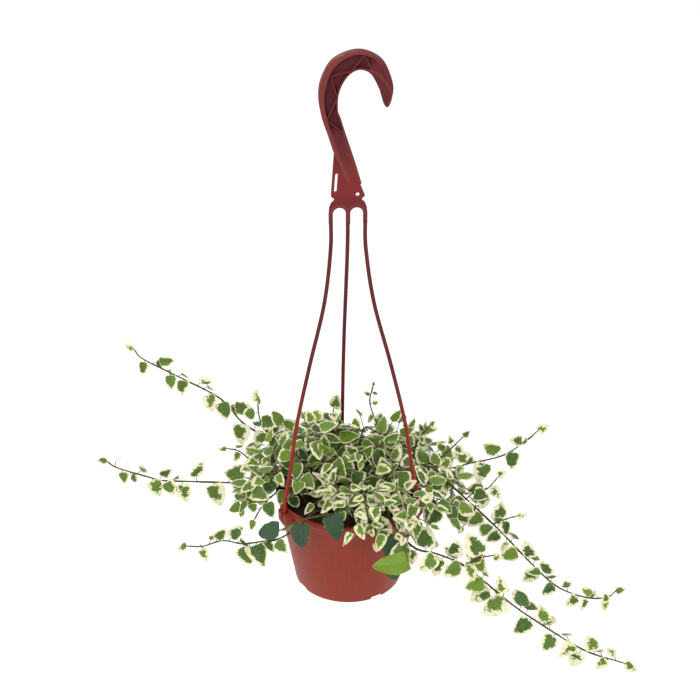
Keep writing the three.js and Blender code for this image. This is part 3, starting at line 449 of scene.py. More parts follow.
under = [[0, -1], [inner_foot - 0.6, -1], [inner_foot, FLOOR_HEIGHT], [0, FLOOR_HEIGHT]]

seat_top, slit_end = LUG_TOP - SEAT_DEPTH, LUG_REACH + 2
chamber_low = seat_top - ARM_FOOT_HEIGHT - 2 * ARM_FOOT_PLAY
seats = []
for turn in ARM_TURNS:
    for width, depth, low, high, y in (
        (4.6, 4.6, seat_top, LUG_TOP + 1, -ARM_SEAT),
        (8.5, 4.6, chamber_low, seat_top + 0.2, -ARM_SEAT),
        (2.2, slit_end - ARM_SEAT, chamber_low, LUG_TOP + 1, -(slit_end + ARM_SEAT) / 2),
    ):
        seats.append(lofted(turned_about_axis(block(width, depth, low, high, y), turn)))


def notch(turn):
    """A drain notch: a slot 14 mm wide and 4 mm high through the foot ring, with a rounded top."""
    outline = softened([[-7, -1], [7, -1], [7, FLOOR_HEIGHT], [-7, FLOOR_HEIGHT]], 1.6, closed=True)
    rings = np.stack([upright(outline, y) for y in (-FOOT_RADIUS + 4, -FOOT_RADIUS - 4)])
    return lofted(turned_about_axis(rings, turn))


def drain(number):
    """A round drain hole in the floor."""
    turn, steps = np.radians(360 / DRAIN_COUNT * number + 30), circle_turns(20)
    ring = np.stack([DRAIN_CIRCLE * np.cos(turn) + DRAIN_RADIUS * np.cos(steps),
                     DRAIN_CIRCLE * np.sin(turn) + DRAIN_RADIUS * np.sin(steps), 0 * steps], axis=-1)
    return lofted(np.stack([ring + [0, 0, -2], ring + [0, 0, 10]]))


# %% [markdown]
# The pot's plastic is terracotta-coloured and satin. The melt leaves faint upright flow lines, and the
# mould a fine grain. The streaks are noise drawn out along the wall, and the grain is a small bump.

# %% Terracotta plastic
pot_plastic, tree, surface = start_material("terracotta plastic")
where = object_place(tree)
streaks = spots(tree, drawn_out(tree, where, (330, 330, 7)), 1.0, 4, 0.6)
clouds = spots(tree, where, 22, 3)
grain = spots(tree, where, 1500, 2)
scuffs = spread(tree, spots(tree, where, 160, 6, 0.7), 0.62, 0.78)
base = layered(
    tree, paint(120, 36, 13),
    (spread(tree, streaks, 0.3, 0.7), paint(137, 44, 20)),
    (spread(tree, clouds, 0.35, 0.7, 0, 0.45), paint(124, 42, 23)),
    (times(tree, scuffs, 0.2), paint(158, 80, 60)))
finish_surface(tree, surface, base, spread(tree, streaks, 0.2, 0.8, 0.4, 0.54), 0.2)
relief(tree, surface, calc(tree, "ADD", grain, times(tree, streaks, 1.5)), 0.00006, 0.6)

drains = [drain(number) for number in range(DRAIN_COUNT)]
pot = join_and_cut(
    "plastic_pot", revolved(outside, 120), lugs,
    [revolved(inside, 120), revolved(under, 120), *seats, *map(notch, NOTCH_TURNS), *drains],
    [pot_plastic])
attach(pot, "root")
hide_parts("pot")

# %% [markdown]
# ## Hanger
#
# One moulding: a hook of channel section with a zigzag of ribs, a flat plate, and three thin arms. The
# hook is one section carried along two edge curves. Between the rims the section drops to the channel's
# back, and outside that stretch it fills up to a gently ridged or rounded face. Its depth runs down to
# the plate's.

# %% Curves
HOOK_OUTER = [[35.5, 517], [39.2, 526], [40.2, 541], [32.3, 560], [18.2, 569.4], [3.2, 570.4],
              [-14.1, 562.1], [-23.9, 545.3], [-26.6, 529], [-24.2, 511.2], [-18.8, 493.8], [-12.9, 475],
              [-6.6, 459.6], [-0.3, 444]]
HOOK_INNER = [[32.2, 521], [30.5, 527.2], [27.6, 536.5], [20.5, 549.9], [11.6, 554.6], [2.6, 551.6],
              [-4.6, 542.6], [-8.8, 531], [-9.2, 516], [-6.1, 506.5], [-1.6, 491.4], [3, 477], [8, 461],
              [12.8, 444]]
RIB_LINE = [[21.1, 555.8], [14.2, 567.6], [3.4, 553], [-15.6, 549.6], [-9.8, 528.6], [-19.6, 508],
            [-3.4, 495.1]]
OUTER_RIM = [[0.27, 2.3], [0.385, 2.8], [0.46, 4.8], [0.54, 6.2], [0.62, 6.2], [0.7, 5.2], [0.76, 4.6]]
INNER_RIM, HOOK_DEPTH, HOOK_WEB = 1.9, 11.4, 6.8


def smooth_curve(points, shares):
    """The Catmull-Rom curve through the points, at shares of its points' count. Between b and c, with the
    neighbours a and d and the share w, it is
    b + w (c-a)/2 + w^2 (a - 2.5b + 2c - d/2) + w^3 (1.5(b-c) + (d-a)/2)."""
    points = np.asarray(points, float)
    line = np.vstack([2 * points[0] - points[1], points, 2 * points[-1] - points[-2]])
    along = np.clip(shares, 0, 1) * (len(points) - 1)
    i = np.minimum(along.astype(int), len(points) - 2)
    w = (along - i)[:, None]
    a, b, c, d = (line[i + k] for k in range(4))
    return b + w * ((c - a) / 2 + w * (a - 2.5 * b + 2 * c - d / 2 + w * (1.5 * (b - c) + (d - a) / 2)))


# %% Hook
def hook_sections():
    """Rings of the hook at shares t of its length, from the tip to the plate, and how much painted highlight
    their points carry.
    In a ring, q runs from the outer edge to the inner one and y from front to back. gate(t) is 1 in the
    recess and 0 outside it. It mixes the channel's front line with the filled one, whose ridge stands at the
    share 'ridge' of the width. The rings turn the wrong way for lofted, so it is given them backwards."""
    t = np.unique(np.concatenate([np.linspace(0, 0.04, 9), np.linspace(0, 1, 190)]))
    outer, inner = smooth_curve(HOOK_OUTER, t), smooth_curve(HOOK_INNER, t)
    width = np.linalg.norm(inner - outer, axis=1)
    gate = eased(np.clip((t - 0.245) / 0.04, 0, 1) * np.clip((0.79 - t) / 0.07, 0, 1))
    band = np.interp(t, *np.array(OUTER_RIM).T)
    half = np.interp(t, [0, 0.84, 0.985, 1], [5.7, 5.7, 2.2, 1.7])
    slope = np.interp(t, [0.27, 0.385, 0.5, 0.66, 0.8], [0.5, 0.9, 2.4, 2.2, 0.6])
    o, rim, deep = 0 * t, width - INNER_RIM, HOOK_DEPTH - HOOK_WEB
    channel_q = np.stack([o, 0.2 * band, 0.55 * band, band - 0.4, band, band + 0.3, band + 0.7,
                          rim - 0.6, rim - 0.25, rim, rim + 0.35, width - 0.45, width], axis=1)
    channel_y = np.stack([slope + 0.5, 0.62 * slope, 0.22 * slope, o, o + 0.35, o + deep - 0.5, o + deep,
                          o + deep, o + deep - 0.5, o + 0.35, o, o, o + 0.5], axis=1)
    share = np.array([0, 0.03, 0.1, 0.2, 0.3, 0.4, 0.5, 0.6, 0.7, 0.8, 0.9, 0.97, 1])
    ridge = np.interp(t, [0, 0.1, 0.27, 0.75, 1], [0.35, 0.1, 0.95, 0.45, 0.5])[:, None]
    height = np.interp(t, [0, 0.05, 0.27, 0.76, 0.9, 1], [0.8, 2.2, 2.6, 3.2, 3.6, 1.0])[:, None]
    off = np.abs(share - ridge)
    roof = np.where(t[:, None] < 0.5, off, 1.6 * off**2)
    filled_y = height * roof + np.array([0.7, 0.25, 0, 0, 0, 0, 0, 0, 0, 0, 0, 0.25, 0.7])
    q = channel_q * gate[:, None] + width[:, None] * share * (1 - gate[:, None])
    front = (channel_y * gate[:, None] + filled_y * (1 - gate[:, None])) - half[:, None]
    front = np.minimum(front, half[:, None] - 0.6)
    back_q = np.stack([width, width - 0.5, 0.5 + o, o], axis=1)
    back_y = np.stack([half - 0.5, half, half, half - 0.5], axis=1)
    q, y = np.hstack([q, back_q]), np.hstack([front, back_y])
    nose = ball(t / 0.032)[:, None]
    q = width[:, None] / 2 + (q - width[:, None] / 2) * nose
    y = y * (0.35 + 0.65 * nose)
    across = unit(inner - outer)
    flat = outer[:, None] + across[:, None] * q[..., None]
    # Painted highlight: the outer band, the inner rim and the crease near the tip get a paler colour through
    # this share.
    highlight_share = np.zeros(q.shape)
    highlight_share[:, :4], highlight_share[:, 10:12] = 0.55, 0.3
    crease = np.clip(1 - np.abs(share - ridge) / 0.09, 0, 1) * np.clip((0.29 - t) / 0.03, 0, 1)[:, None]
    highlight_share[:, :13] = np.maximum(highlight_share[:, :13] * np.clip((t - 0.2) / 0.1, 0.2, 1)[:, None], 0.8 * crease)
    return upright(flat, y), highlight_share


hook_rings, hook_highlight = (part[:, ::-1] for part in hook_sections())
hook = lofted(hook_rings)


def rib_sections(start, end):
    """A rib from corner to corner, 1.4 mm thick at the channel's back and 1 mm at its rounded front."""
    start, end = np.array(start, float), np.array(end, float)
    along = unit(end - start)
    aside = np.array([-along[1], along[0]])
    profile = np.array([[-0.7, -0.9], [0.7, -0.9], [0.5, -4.7], [0.25, -5.2], [-0.25, -5.2], [-0.5, -4.7]])
    return np.stack([upright(spot + aside * profile[:, :1], profile[:, 1]) for spot in (start, end)])


ribs = [lofted(rib_sections(a, b)) for a, b in zip(RIB_LINE, RIB_LINE[1:])]
print("hook rings:", len(hook_rings), "ribs:", len(ribs))

# %% [markdown]
# The plate is a flat sheet with a slot and a hole. Its lower edge is two arches, and the rods of the arms
# run on over them as raised ridges. Rods are circles carried along a path by frames that don't twist.

# %% Rods
def rod(path, radii, sides):
    """A round rod along a path: ring i is the circle of radius r_i square to the path there. The side vector
    is carried from ring to ring and only made square to the path, so the rod doesn't twist."""
    path = np.asarray(path, float)
    ways = unit(np.gradient(path, axis=0))
    side = unit(np.cross([0.3, 0.9, 0.2], ways[0]))
    frames = []
    for way in ways:
        side = unit(side - way * np.dot(side, way))
        frames.append(side)
    frames = np.array(frames)
    others = np.cross(ways, frames)
    turns = circle_turns(sides)[:, None]
    radii = np.broadcast_to(radii, len(path))[:, None, None]
    return path[:, None] + radii * (frames[:, None] * np.cos(turns) + others[:, None] * np.sin(turns))


def ball_ends(radius, length, steps):
    """Radii along a rod of this length, rounded to a ball at both ends."""
    along = np.linspace(0, length, steps)
    return ball(np.minimum(along, length - along) / radius) * radius


# %% Plate
ARM_RADIUS, ARM_ROOT_GAP, ARCH_TOP = 1.95, 16.2, 420.7
arch_radius = ARM_ROOT_GAP / 2 - ARM_RADIUS
arch_turns = np.radians(np.linspace(180, 0, 17))


def arch(centre, radius):
    """Half a circle over a gap between arms, from left to right."""
    return np.stack([centre + radius * np.cos(arch_turns),
                     ARCH_TOP - arch_radius + radius * np.sin(arch_turns)], axis=-1)


def stub(x):
    """The lower end of an arm's root in the plate's outline, from left to right."""
    return [[x - ARM_RADIUS, 404], [x + ARM_RADIUS, 404]]


left_side = softened([[-2.5, 475], [-12.9, 475], [-16, 432], [-12.8, 429.6], [-12.6, 428.2], [-15.8, 425.2],
                      [-17.6, 421], [-18.1, 415]], 1.2)
right_side = softened([[18.1, 415], [17.6, 421], [15.8, 425.2], [12.6, 428.2], [12.8, 429.6], [16, 432],
                       [11.6, 443.2], [2, 475]], 1.2)
outline = np.vstack([left_side, stub(-ARM_ROOT_GAP), arch(-ARM_ROOT_GAP / 2, arch_radius), stub(0),
                     arch(ARM_ROOT_GAP / 2, arch_radius), stub(ARM_ROOT_GAP), right_side])
print("points round the plate:", len(outline))


def slab(outline, front, back):
    """An outline in the XZ plane, lofted from front to back."""
    return lofted(np.stack([upright(outline, back), upright(outline, front)]))


slot = softened([[-9.3, 455], [-11.8, 454.8], [-13.2, 436.4], [-10.6, 436.2]], 1.2, closed=True)
hole = np.stack([9 + 1.9 * np.cos(circle_turns(20)), 433.4 + 2.2 * np.sin(circle_turns(20))], axis=-1)

# %% Arms
ARM_SPREAD = np.array([[-12, 77.6], [3, 77.9], [20, 75.7], [42, 70.8], [94, 61.9], [156, 45.7], [218, 30.4],
                       [270, 21.4], [302, 17.4]])
SWING_TOP, SWING_HEIGHT, ARM_LENGTH = 320, 150, 320


def arm_path(turn, steps=110):
    """An arm leaves the plate in the hook's plane and swings to its own side of the pot as it goes down:
    x = root + (r sin a - root) swing, y = -r cos a swing, with swing a smooth step over 150 mm of height."""
    angle = np.radians(turn)
    root = np.sign(np.round(np.sin(angle) * 2)) * ARM_ROOT_GAP
    height, radius = POT_HEIGHT + ARM_SPREAD[:, 0], ARM_SPREAD[:, 1]
    swing = eased((POT_HEIGHT + SWING_TOP - height) / SWING_HEIGHT)
    x = root + (radius * np.sin(angle) - root) * swing
    points = np.stack([x, -radius * np.cos(angle) * swing, height], axis=-1)
    return smooth_curve(points, np.linspace(0, 1, steps))


def arm_foot(turn):
    """The foot that snaps into the lug's chamber, with softened corners."""
    top = seat_top - ARM_FOOT_PLAY
    foot = block(ARM_FOOT_WIDTH, ARM_FOOT_DEPTH, top - ARM_FOOT_HEIGHT, top, -ARM_SEAT, 1.0)
    return lofted(turned_about_axis(foot, turn))


arm_shapes = []
for turn in ARM_TURNS:
    path = arm_path(turn)
    arm_shapes.append(lofted(rod(path, ball_ends(ARM_RADIUS, ARM_LENGTH, len(path)), 14)))
    arm_shapes.append(arm_foot(turn))
arch_ridges = []
for centre in (-ARM_ROOT_GAP / 2, ARM_ROOT_GAP / 2):
    over = arch(centre, ARM_ROOT_GAP / 2 + 0.25)
    down = np.array([[0, 9.0], [0, 4.5]])
    flat = np.vstack([over[:1] - down, over, over[-1:] - down[::-1]])
    arch_ridges.append(lofted(rod(upright(flat, 0), 1.9, 12)))
print("rods and feet of the arms:", len(arm_shapes), "ridges on the plate:", len(arch_ridges))

# %% [markdown]
# The hanger's plastic is the pot's, dyed darker: maroon. A redder brown about the plate and low on the
# arms is painted light, and a darker maroon towards the back is painted shade. A paler painted highlight
# lies on the outer band, the inner rim, the crease and the ribs. The mix follows slow noise, height,
# depth and that highlight.

# %% Maroon plastic
hanger_plastic, tree, surface = start_material("maroon plastic")
where = object_place(tree)
clouds = spots(tree, where, 45, 3)
flow = spots(tree, drawn_out(tree, where, (500, 500, 40)), 1.0, 3)
grain = spots(tree, where, 1700, 2)
seat = wire(tree, "ShaderNodeSeparateXYZ", {"Vector": where})
height = seat.outputs["Z"]
# Painted light: near_plate marks the heights about the plate, where a redder brown is laid on.
near_plate = times(tree, spread(tree, height, -0.148, -0.118), spread(tree, height, -0.07, -0.1))
base = layered(
    tree, paint(76, 27, 33),
    (spread(tree, clouds, 0.3, 0.7), paint(92, 34, 37)),
    (spread(tree, flow, 0.55, 0.75, 0, 0.3), paint(112, 48, 45)),
    # Painted light: a redder brown about the plate.
    (times(tree, near_plate, 0.7), paint(120, 43, 38)),
    # Painted light: a redder brown low on the arms, near the pot.
    (spread(tree, height, -0.29, -0.42, 0.0, 0.85), paint(152, 46, 34)),
    # Painted shade: a darker maroon towards the back, which falls on the rear arm.
    (spread(tree, seat.outputs["Y"], 0.006, 0.035, 0.0, 0.55), paint(66, 26, 34)),
    # Painted highlight: paler where the points mark the lit outer band, inner rim, crease and ribs.
    (attribute(tree, "painted_highlight"), paint(124, 57, 51)))
finish_surface(tree, surface, base, spread(tree, clouds, 0.3, 0.7, 0.46, 0.6), 0.12)
relief(tree, surface, calc(tree, "ADD", grain, flow), 0.00005, 0.6)


def merged(shapes):
    """Several (points, faces) shapes as one, each closed in itself."""
    points, faces, first = [], [], 0
    for shape_points, shape_faces in shapes:
        points.append(shape_points)
        faces.extend(part + first for part in shape_faces)
        first += len(shape_points)
    return np.vstack(points), faces


moulding = merged([hook, *ribs, *arm_shapes, *arch_ridges])
hanger_rods = build_mesh("hanger_hook_and_arms", in_frame(moulding[0]), moulding[1],
                         materials=[hanger_plastic])
# Painted highlight shares: bright lines on the ribs and the arch ridges, and a little on the arms.
rod_highlight = [np.full(len(points), highlight_share) for shapes, highlight_share in ((ribs, 0.5), (arm_shapes, 0.1), (arch_ridges, 0.5))
        for points, _ in shapes]
mark_points(hanger_rods, "painted_highlight", np.concatenate([hook_highlight.ravel(), *rod_highlight]))
plate = join_and_cut("hanger_plate", slab(outline, -1.6, 1.6), [],
                     [slab(slot, -3, 3), slab(hole, -3, 3)], [hanger_plastic])
edge = plate.modifiers.new("rounded edges", "BEVEL")
edge.width = 0.0005
edge.segments = 2
edge.limit_method = "ANGLE"
edge.angle_limit = np.radians(40)
for piece in (hanger_rods, plate):
    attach(piece, "root")
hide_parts("hanger")

# %% [markdown]
# ## Soil
#
# Potting soil is crumbs of dark peat with fibres. The bulk is a surface of revolution whose top is pushed
# up and down by a sum of waves, and some hundred loose crumbs lie sunk in it. A crumb is a stretched
# octahedron.

# %% Chance that repeats
def draw(*keys):
    """A number from 0 to 1 that depends only on its whole-number keys, which may be arrays. For each key the
    32-bit state is mixed: state = (state xor key) * 0x85ebca6b, then state xor (state >> 13). At the end
    it is multiplied by 0xc2b2ae35 and mixed by state xor (state >> 16)."""
    mask, mix, last = np.uint64(0xFFFFFFFF), np.uint64(0x85EBCA6B), np.uint64(0xC2B2AE35)
    state = np.uint64(0x9E3779B9)
    for key in keys:
        state = ((state ^ np.asarray(key).astype(np.uint64)) * mix) & mask
        state = state ^ (state >> np.uint64(13))
    state = (state * last) & mask
    return (state ^ (state >> np.uint64(16))).astype(float) / 2**32


SOIL_TOP, SOIL_FALL, SOIL_EDGE, SOIL_FOOT = 98, 4, 93, 6.9


def soil_top(radius):
    """The soil's height. It falls with the square of the distance from the axis."""
    return SOIL_TOP - SOIL_FALL * (np.asarray(radius) / NECK_RADIUS) ** 2


# %% Soil surface
def soil_surface():
    """The plug of soil. Its top at the distance r and the turn a stands at the soil's height plus a sum of
    six waves in x and y, which fades to nothing at the wall."""

    def inner(height):
        return wall_radius(height) - WALL - 0.65

    rings = np.linspace(inner(SOIL_EDGE) - 0.5, 1.5, 40)
    wall = [[0, SOIL_FOOT], [inner(SOIL_FOOT) - 2.6, SOIL_FOOT], [inner(10), 10], [inner(50), 50],
            [inner(SOIL_EDGE), SOIL_EDGE]]
    profile = np.vstack([wall, np.stack([rings, soil_top(rings)], axis=-1), [[0, SOIL_TOP]]])
    points, faces = revolved(profile, 110)
    x, y, z = points.T
    bumps = 0
    for i in range(6):
        pace = 0.16 + 0.13 * i
        turn, phase = 6.28 * draw(71, i, 1), 6.28 * draw(71, i, 2)
        wave = np.sin(pace * (x * np.cos(turn) + y * np.sin(turn)) * 1.7 + phase)
        bumps = bumps + 0.9 / (1 + 0.6 * i) * wave
    loose = np.clip((70 - np.hypot(x, y)) / 8, 0, 1) * (z > SOIL_EDGE - 1)
    points[:, 2] += bumps * loose * 0.8
    return points, faces


def crumbs(count):
    """Octahedra with their six corners pushed in and out, about 1 to 6 mm wide, half sunk in the soil."""
    number = np.arange(count)
    radius = 68 * np.sqrt(draw(72, number, 1))
    turn = 2 * np.pi * draw(72, number, 2)
    centre = np.stack([radius * np.cos(turn), radius * np.sin(turn), soil_top(radius) + 0.6], axis=-1)
    corners = np.array([[1, 0, 0], [0, 1, 0], [-1, 0, 0], [0, -1, 0], [0, 0, 1], [0, 0, -1]], float)
    size = 0.7 + 1.6 * draw(72, number, 3) ** 2
    stretch = 0.6 + 0.8 * draw(72, number[:, None], 4 + np.arange(6))
    points = centre[:, None] + corners * (size[:, None] * stretch)[..., None]
    faces = np.array([[0, 1, 4], [1, 2, 4], [2, 3, 4], [3, 0, 4], [1, 0, 5], [2, 1, 5], [3, 2, 5], [0, 3, 5]])
    return points.reshape(-1, 3), [(faces[None] + 6 * number[:, None, None]).reshape(-1, 3)]


soil_material, tree, surface = start_material("potting soil")
where = object_place(tree)
lumps = spots(tree, where, 420, 6, 0.7)
fibres = spots(tree, drawn_out(tree, where, (900, 120, 300)), 1.0, 2)
base = layered(
    tree, paint(26, 22, 18),
    (spread(tree, lumps, 0.35, 0.7), paint(66, 52, 40)),
    (spread(tree, fibres, 0.66, 0.74, 0, 0.5), paint(112, 88, 62)))
finish_surface(tree, surface, base, 0.95, 0.2)
relief(tree, surface, lumps, 0.0012)

bulk = merged([soil_surface(), crumbs(700)])
soil = build_mesh("potting_soil", in_frame(bulk[0]), bulk[1], materials=[soil_material])
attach(soil, "root")
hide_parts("soil")
print("soil faces:", len(soil.data.polygons))

# %% [markdown]
# ## Leafy stems: where they run
#
# In the CAD source every stem has a plan: where it is rooted, the points it passes through, the length of
# a leaf and the distance between leaves. Small draws let it stray until it is clear of its neighbours.
# This part repeats those rules, tries the same draws in the same order, and takes the one that the CAD
# node shows. So each fine stem and leaf lies on its plain CAD one, seen from any side.

# %% Plans of the named stems
SHOOTS = {
    "runner_right_long": [
        (0.36, 10, [[9, 2, 6], [22, 3, 9], [33, 6, 20]]), (0.5, 10, [[10, -4, 8], [22, -6, 13]]),
        (0.42, 10, [[-3, -4, -10], [-12, -4, -20]]), (0.3, 10, [[-2, -5, -12], [-12, -8, -16]])],
    "runner_front_long": [(0.45, 10, [[12, -3, 10], [26, -2, 12]])],
}
# name: seed, root, leaf, pace, petiole, thickness, hand, taper, points passed through
NAMED_STEMS = {
    "runner_left_high": (11, (-30, 26), 21.5, 15.5, 4, 1.2, None, 0.45, [
        [-56, 50, 122], [-84, 76, 126], [-107, 92, 136], [-129, 107, 157], [-168, 123, 174], [-209, 139, 191],
        [-218, 143, 200]]),
    "runner_left_level": (12, (-38, 2), 23, 16, 4, 1.2, None, 0.45, [
        [-62, 6, 119], [-84, 11, 108], [-122, 23, 104], [-164, 32, 102], [-191, 39, 100], [-209, 44, 103],
        [-239, 51, 111], [-248, 53, 117]]),
    "runner_left_low": (13, (-24, -36), 22, 15, 4, 1.2, None, 0.45, [
        [-38, -58, 119], [-56, -75, 113], [-76, -78, 102], [-92, -71, 95], [-112, -62, 87], [-131, -55, 87],
        [-151, -49, 77], [-166, -45, 75]]),
    "runner_right_high": (14, (34, 22), 22.5, 16, 4, 1.2, None, 0.45, [
        [62, 32, 121], [84, 35, 112], [108, 36, 100], [134, 38, 104], [169, 41, 110], [196, 45, 126],
        [205, 47, 134]]),
    "runner_right_long": (15, (36, -4), 20, 13, 4, 1.2, None, 0.45, [
        [60, -4, 120], [84, -4, 118], [101, -3, 110], [119, -10, 95], [154, -30, 65], [188, -56, 35],
        [211, -74, 20], [238, -88, 16], [258, -92, 18], [264, -94, 26]]),
    "runner_front_long": (16, (18, -38), 23.5, 14, 4, 1.2, None, 0.45, [
        [30, -60, 120], [42, -84, 108], [58, -100, 98], [79, -110, 97], [105, -124, 90], [144, -142, 60],
        [170, -156, 45], [213, -180, 26], [248, -196, 21]]),
    "green_stem_left": (21, (-4, -54), 28, 24, 5, 1.2, -1, 0.1, [
        [-7, -66, 119], [-24, -80, 130], [-50, -81, 126], [-73, -74, 110]]),
    "green_stem_right": (22, (28, -52), 28, 20, 5, 1.2, 1, 0.1, [
        [32, -68, 117], [35, -84, 105], [36, -92, 86]]),
    "sprig_rear_right": (31, (24, 40), 11, 10, 3, 0.95, None, 0.45, [
        [36, 54, 118], [40, 59, 134], [34, 59, 150], [28, 60, 172], [31, 60, 190]]),
    "sprig_rear_left": (32, (-34, 44), 19, 10, 3.5, 1, None, 0.1, [
        [-62, 58, 124], [-80, 64, 137], [-88, 68, 154], [-91, 71, 170]]),
    "sprig_left": (33, (-46, 20), 16, 12, 3.5, 1, None, 0.45, [
        [-70, 34, 118], [-92, 46, 110], [-110, 54, 122], [-122, 56, 125]]),
    "sprig_rear": (34, (-8, 46), 18, 10, 4, 1, None, 0.1, [[-9, 58, 122], [-12, 62, 145], [-10, 62, 164]]),
    "sprig_right_near": (35, (44, 14), 14, 10, 3, 0.95, None, 0.45, [
        [58, 24, 118], [70, 34, 128], [79, 35, 142], [88, 33, 156]]),
    "sprig_right": (36, (48, -10), 17, 12, 4, 1, None, 0.45, [
        [68, 4, 122], [86, 16, 120], [102, 22, 126], [121, 19, 149]]),
    "tuft_left": (41, (-18, -30), 16.5, 9, 2.5, 1.2, None, 0.45, [
        [-19, -35, 124], [-18, -46, 141], [-16, -61, 145], [-13, -75, 131]]),
    "tuft_middle": (43, (8, -36), 16, 9.5, 2.5, 1.2, None, 0.45, [
        [8, -46, 122], [8, -60, 140], [10, -78, 139], [14, -94, 121]]),
    "tuft_right": (42, (36, -32), 16, 9.5, 2.5, 1.2, None, 0.45, [
        [40, -44, 122], [45, -62, 138], [50, -82, 133], [56, -96, 113]]),
    "front_stem": (44, (12, -56), 17, 11, 3, 1, None, 0.45, [[16, -69, 115], [19, -83, 116], [20, -93, 104]]),
    "left_stem": (45, (-42, -18), 18, 11, 3.5, 1, None, 0.45, [
        [-54, -18, 117], [-72, -20, 119], [-88, -28, 110], [-98, -36, 98]]),
}


def named_plans():
    """The plans of the table. The first stretch of a stem, its bare length in mm, bears no leaves."""
    keys = ("seed", "root", "leaf", "pace", "petiole", "thick", "hand", "taper", "through")
    for name, values in NAMED_STEMS.items():
        plan = dict(zip(keys, values), name=name, shoots=SHOOTS.get(name, []))
        plan["through"] = np.array(plan["through"], float)
        plan["lean"], plan["hang"] = (-0.6, 0.5) if name.startswith("runner") else (0.05, 0.3)
        plan["bare"] = 98 if name == "runner_left_low" else 14
        yield plan


# %% Plans of the mound's stems
# name, first turn, arc, count, root distance, reach, rise, drop, pace, leaf
MOUND_RINGS = [
    ("trailing_stem", -24, 228, 9, 54, 46, 27, 32, 12, 20.5),
    ("mound_stem", -30, 271, 7, 34, 42, 42, 18, 11.5, 20),
    ("crown_stem", 68, 360, 6, 14, 30, 60, 10, 11.5, 19.5),
]
MOUND_LINE = np.array([[0.2, 0.8, 0, 0], [0.55, 1, 0.2, 0], [0.85, 0.92, 0.6, 0.35], [1, 1, 1, 1]])


def mound_plans():
    """Stems of a ring stand round the pot in even turns with a small draw. Each passes points at shares of
    its reach, rise, sideways bend and drop. Over the pot's front they reach less and hang less, and at its
    left they rise up to 20% higher."""
    for row, (ring, start, arc, count, root, reach, rise, drop, pace, leaf) in enumerate(MOUND_RINGS):
        for i in range(count):
            seed = 100 * (row + 1) + i
            vary = [0] + [float(2 * draw(seed, channel) - 1) for channel in range(1, 8)]
            turn = np.radians(start + arc * (i + 0.25 * vary[1]) / count)
            outward = np.array([np.cos(turn), np.sin(turn), 0])
            aside = np.array([-np.sin(turn), np.cos(turn), 0])
            base = root + 3 * vary[2]
            front = max(0, -np.sin(turn))
            wide = 14 * np.cos(turn) ** 2 - 14 * front
            far = (reach + wide) * (1 + 0.14 * vary[3])
            high = rise * (1 + 0.12 * vary[4]) * (1 + 0.2 * max(0, -np.cos(turn)))
            low = drop * (1 + 0.35 * vary[5]) * (1 - 0.7 * front)
            out, up, side, down = MOUND_LINE.T[:, :, None]
            through = outward * (base + far * out) + aside * 14 * vary[6] * side
            through[:, 2] = (soil_top(base) + high * up - low * down)[:, 0]
            yield {"name": f"{ring}_{i + 1:02d}", "seed": seed, "through": through, "shoots": [],
                   "root": (base * np.cos(turn), base * np.sin(turn)), "pace": pace,
                   "leaf": leaf * (1 + 0.08 * vary[7]), "petiole": 4, "thick": 1.2,
                   "hand": None, "taper": 0.45, "lean": 0.05, "hang": 0.3, "bare": 14}


plans = [*named_plans(), *mound_plans()]
print("plans:", len(plans))

# %% [markdown]
# A stem's curve passes its plan's points. The CAD model keeps only the places where leaves sit, and this
# one keeps a place every 2.5 mm as well, on the same curve.

# %% Lines of stems
LIGHT = unit(np.array([-0.1, -0.6, 0.8]))
FINE_STEP, ROOT_DEPTH, TIP_RADIUS = 2.5, 13.65, 0.75
# How many draws the CAD rules may try for a line and for a leaf, and how near in mm a match lies.
LINE_TRIES, LEAF_TRIES = 24, 14
SAME_LINE, SAME_TIP = 0.002, 0.04


def even_places(points, pace):
    """Places at equal distances along the smooth curve through the points: (CAD places, finer places)."""
    fine = smooth_curve(points, np.linspace(0, 1, 301))
    lengths = np.concatenate([[0], np.cumsum(np.linalg.norm(np.diff(fine, axis=0), axis=1))])
    count = max(2, int(np.floor(lengths[-1] / pace + 0.5)))

    def places(steps):
        along = np.linspace(0, lengths[-1], steps + 1)
        return np.stack([np.interp(along, lengths, fine[:, axis]) for axis in range(3)], axis=-1)

    return places(count), places(max(4, int(lengths[-1] / FINE_STEP)))


def headings(places):
    """The direction at each place: from the place before it to the place after it."""
    ahead = np.vstack([places[1:], places[-1:]])
    behind = np.vstack([places[:1], places[:-1]])
    return unit(ahead - behind)


def stem_line(plan, attempt):
    """The places of a plan's stem when its passing points stray by a number of draws."""
    count = len(plan["through"])
    channels = np.arange(3 * count).reshape(-1, 3)
    stray = (2 * draw(plan["seed"], 900 + attempt, channels) - 1) * min(attempt, 8)
    ease = 1.1 * np.minimum(1, (np.arange(count) + 1) / 2)[:, None] * [1, 1, 0.6]
    x, y = plan["root"]
    ground = float(soil_top(np.hypot(x, y)))
    coarse, fine = even_places(np.vstack([[x, y, ground + 3], plan["through"] + ease * stray]), plan["pace"])
    below = [[x, y, ground - ROOT_DEPTH]]
    return np.vstack([below, coarse]), np.vstack([below, fine])


def first_corners(places, thick):
    """The three corners of the CAD stem's section at its first place over the soil."""
    ways = headings(places)
    side = unit(np.cross([0.3, 0.9, 0.2], ways[0]))
    for way in ways[:2]:
        side = unit(side - way * np.dot(side, way))
    other = np.cross(ways[1], side)
    radius = thick + (TIP_RADIUS - thick) / (len(places) - 1)
    turns = circle_turns(3)[:, None]
    return places[1] + radius * (side * np.cos(turns) + other * np.sin(turns))


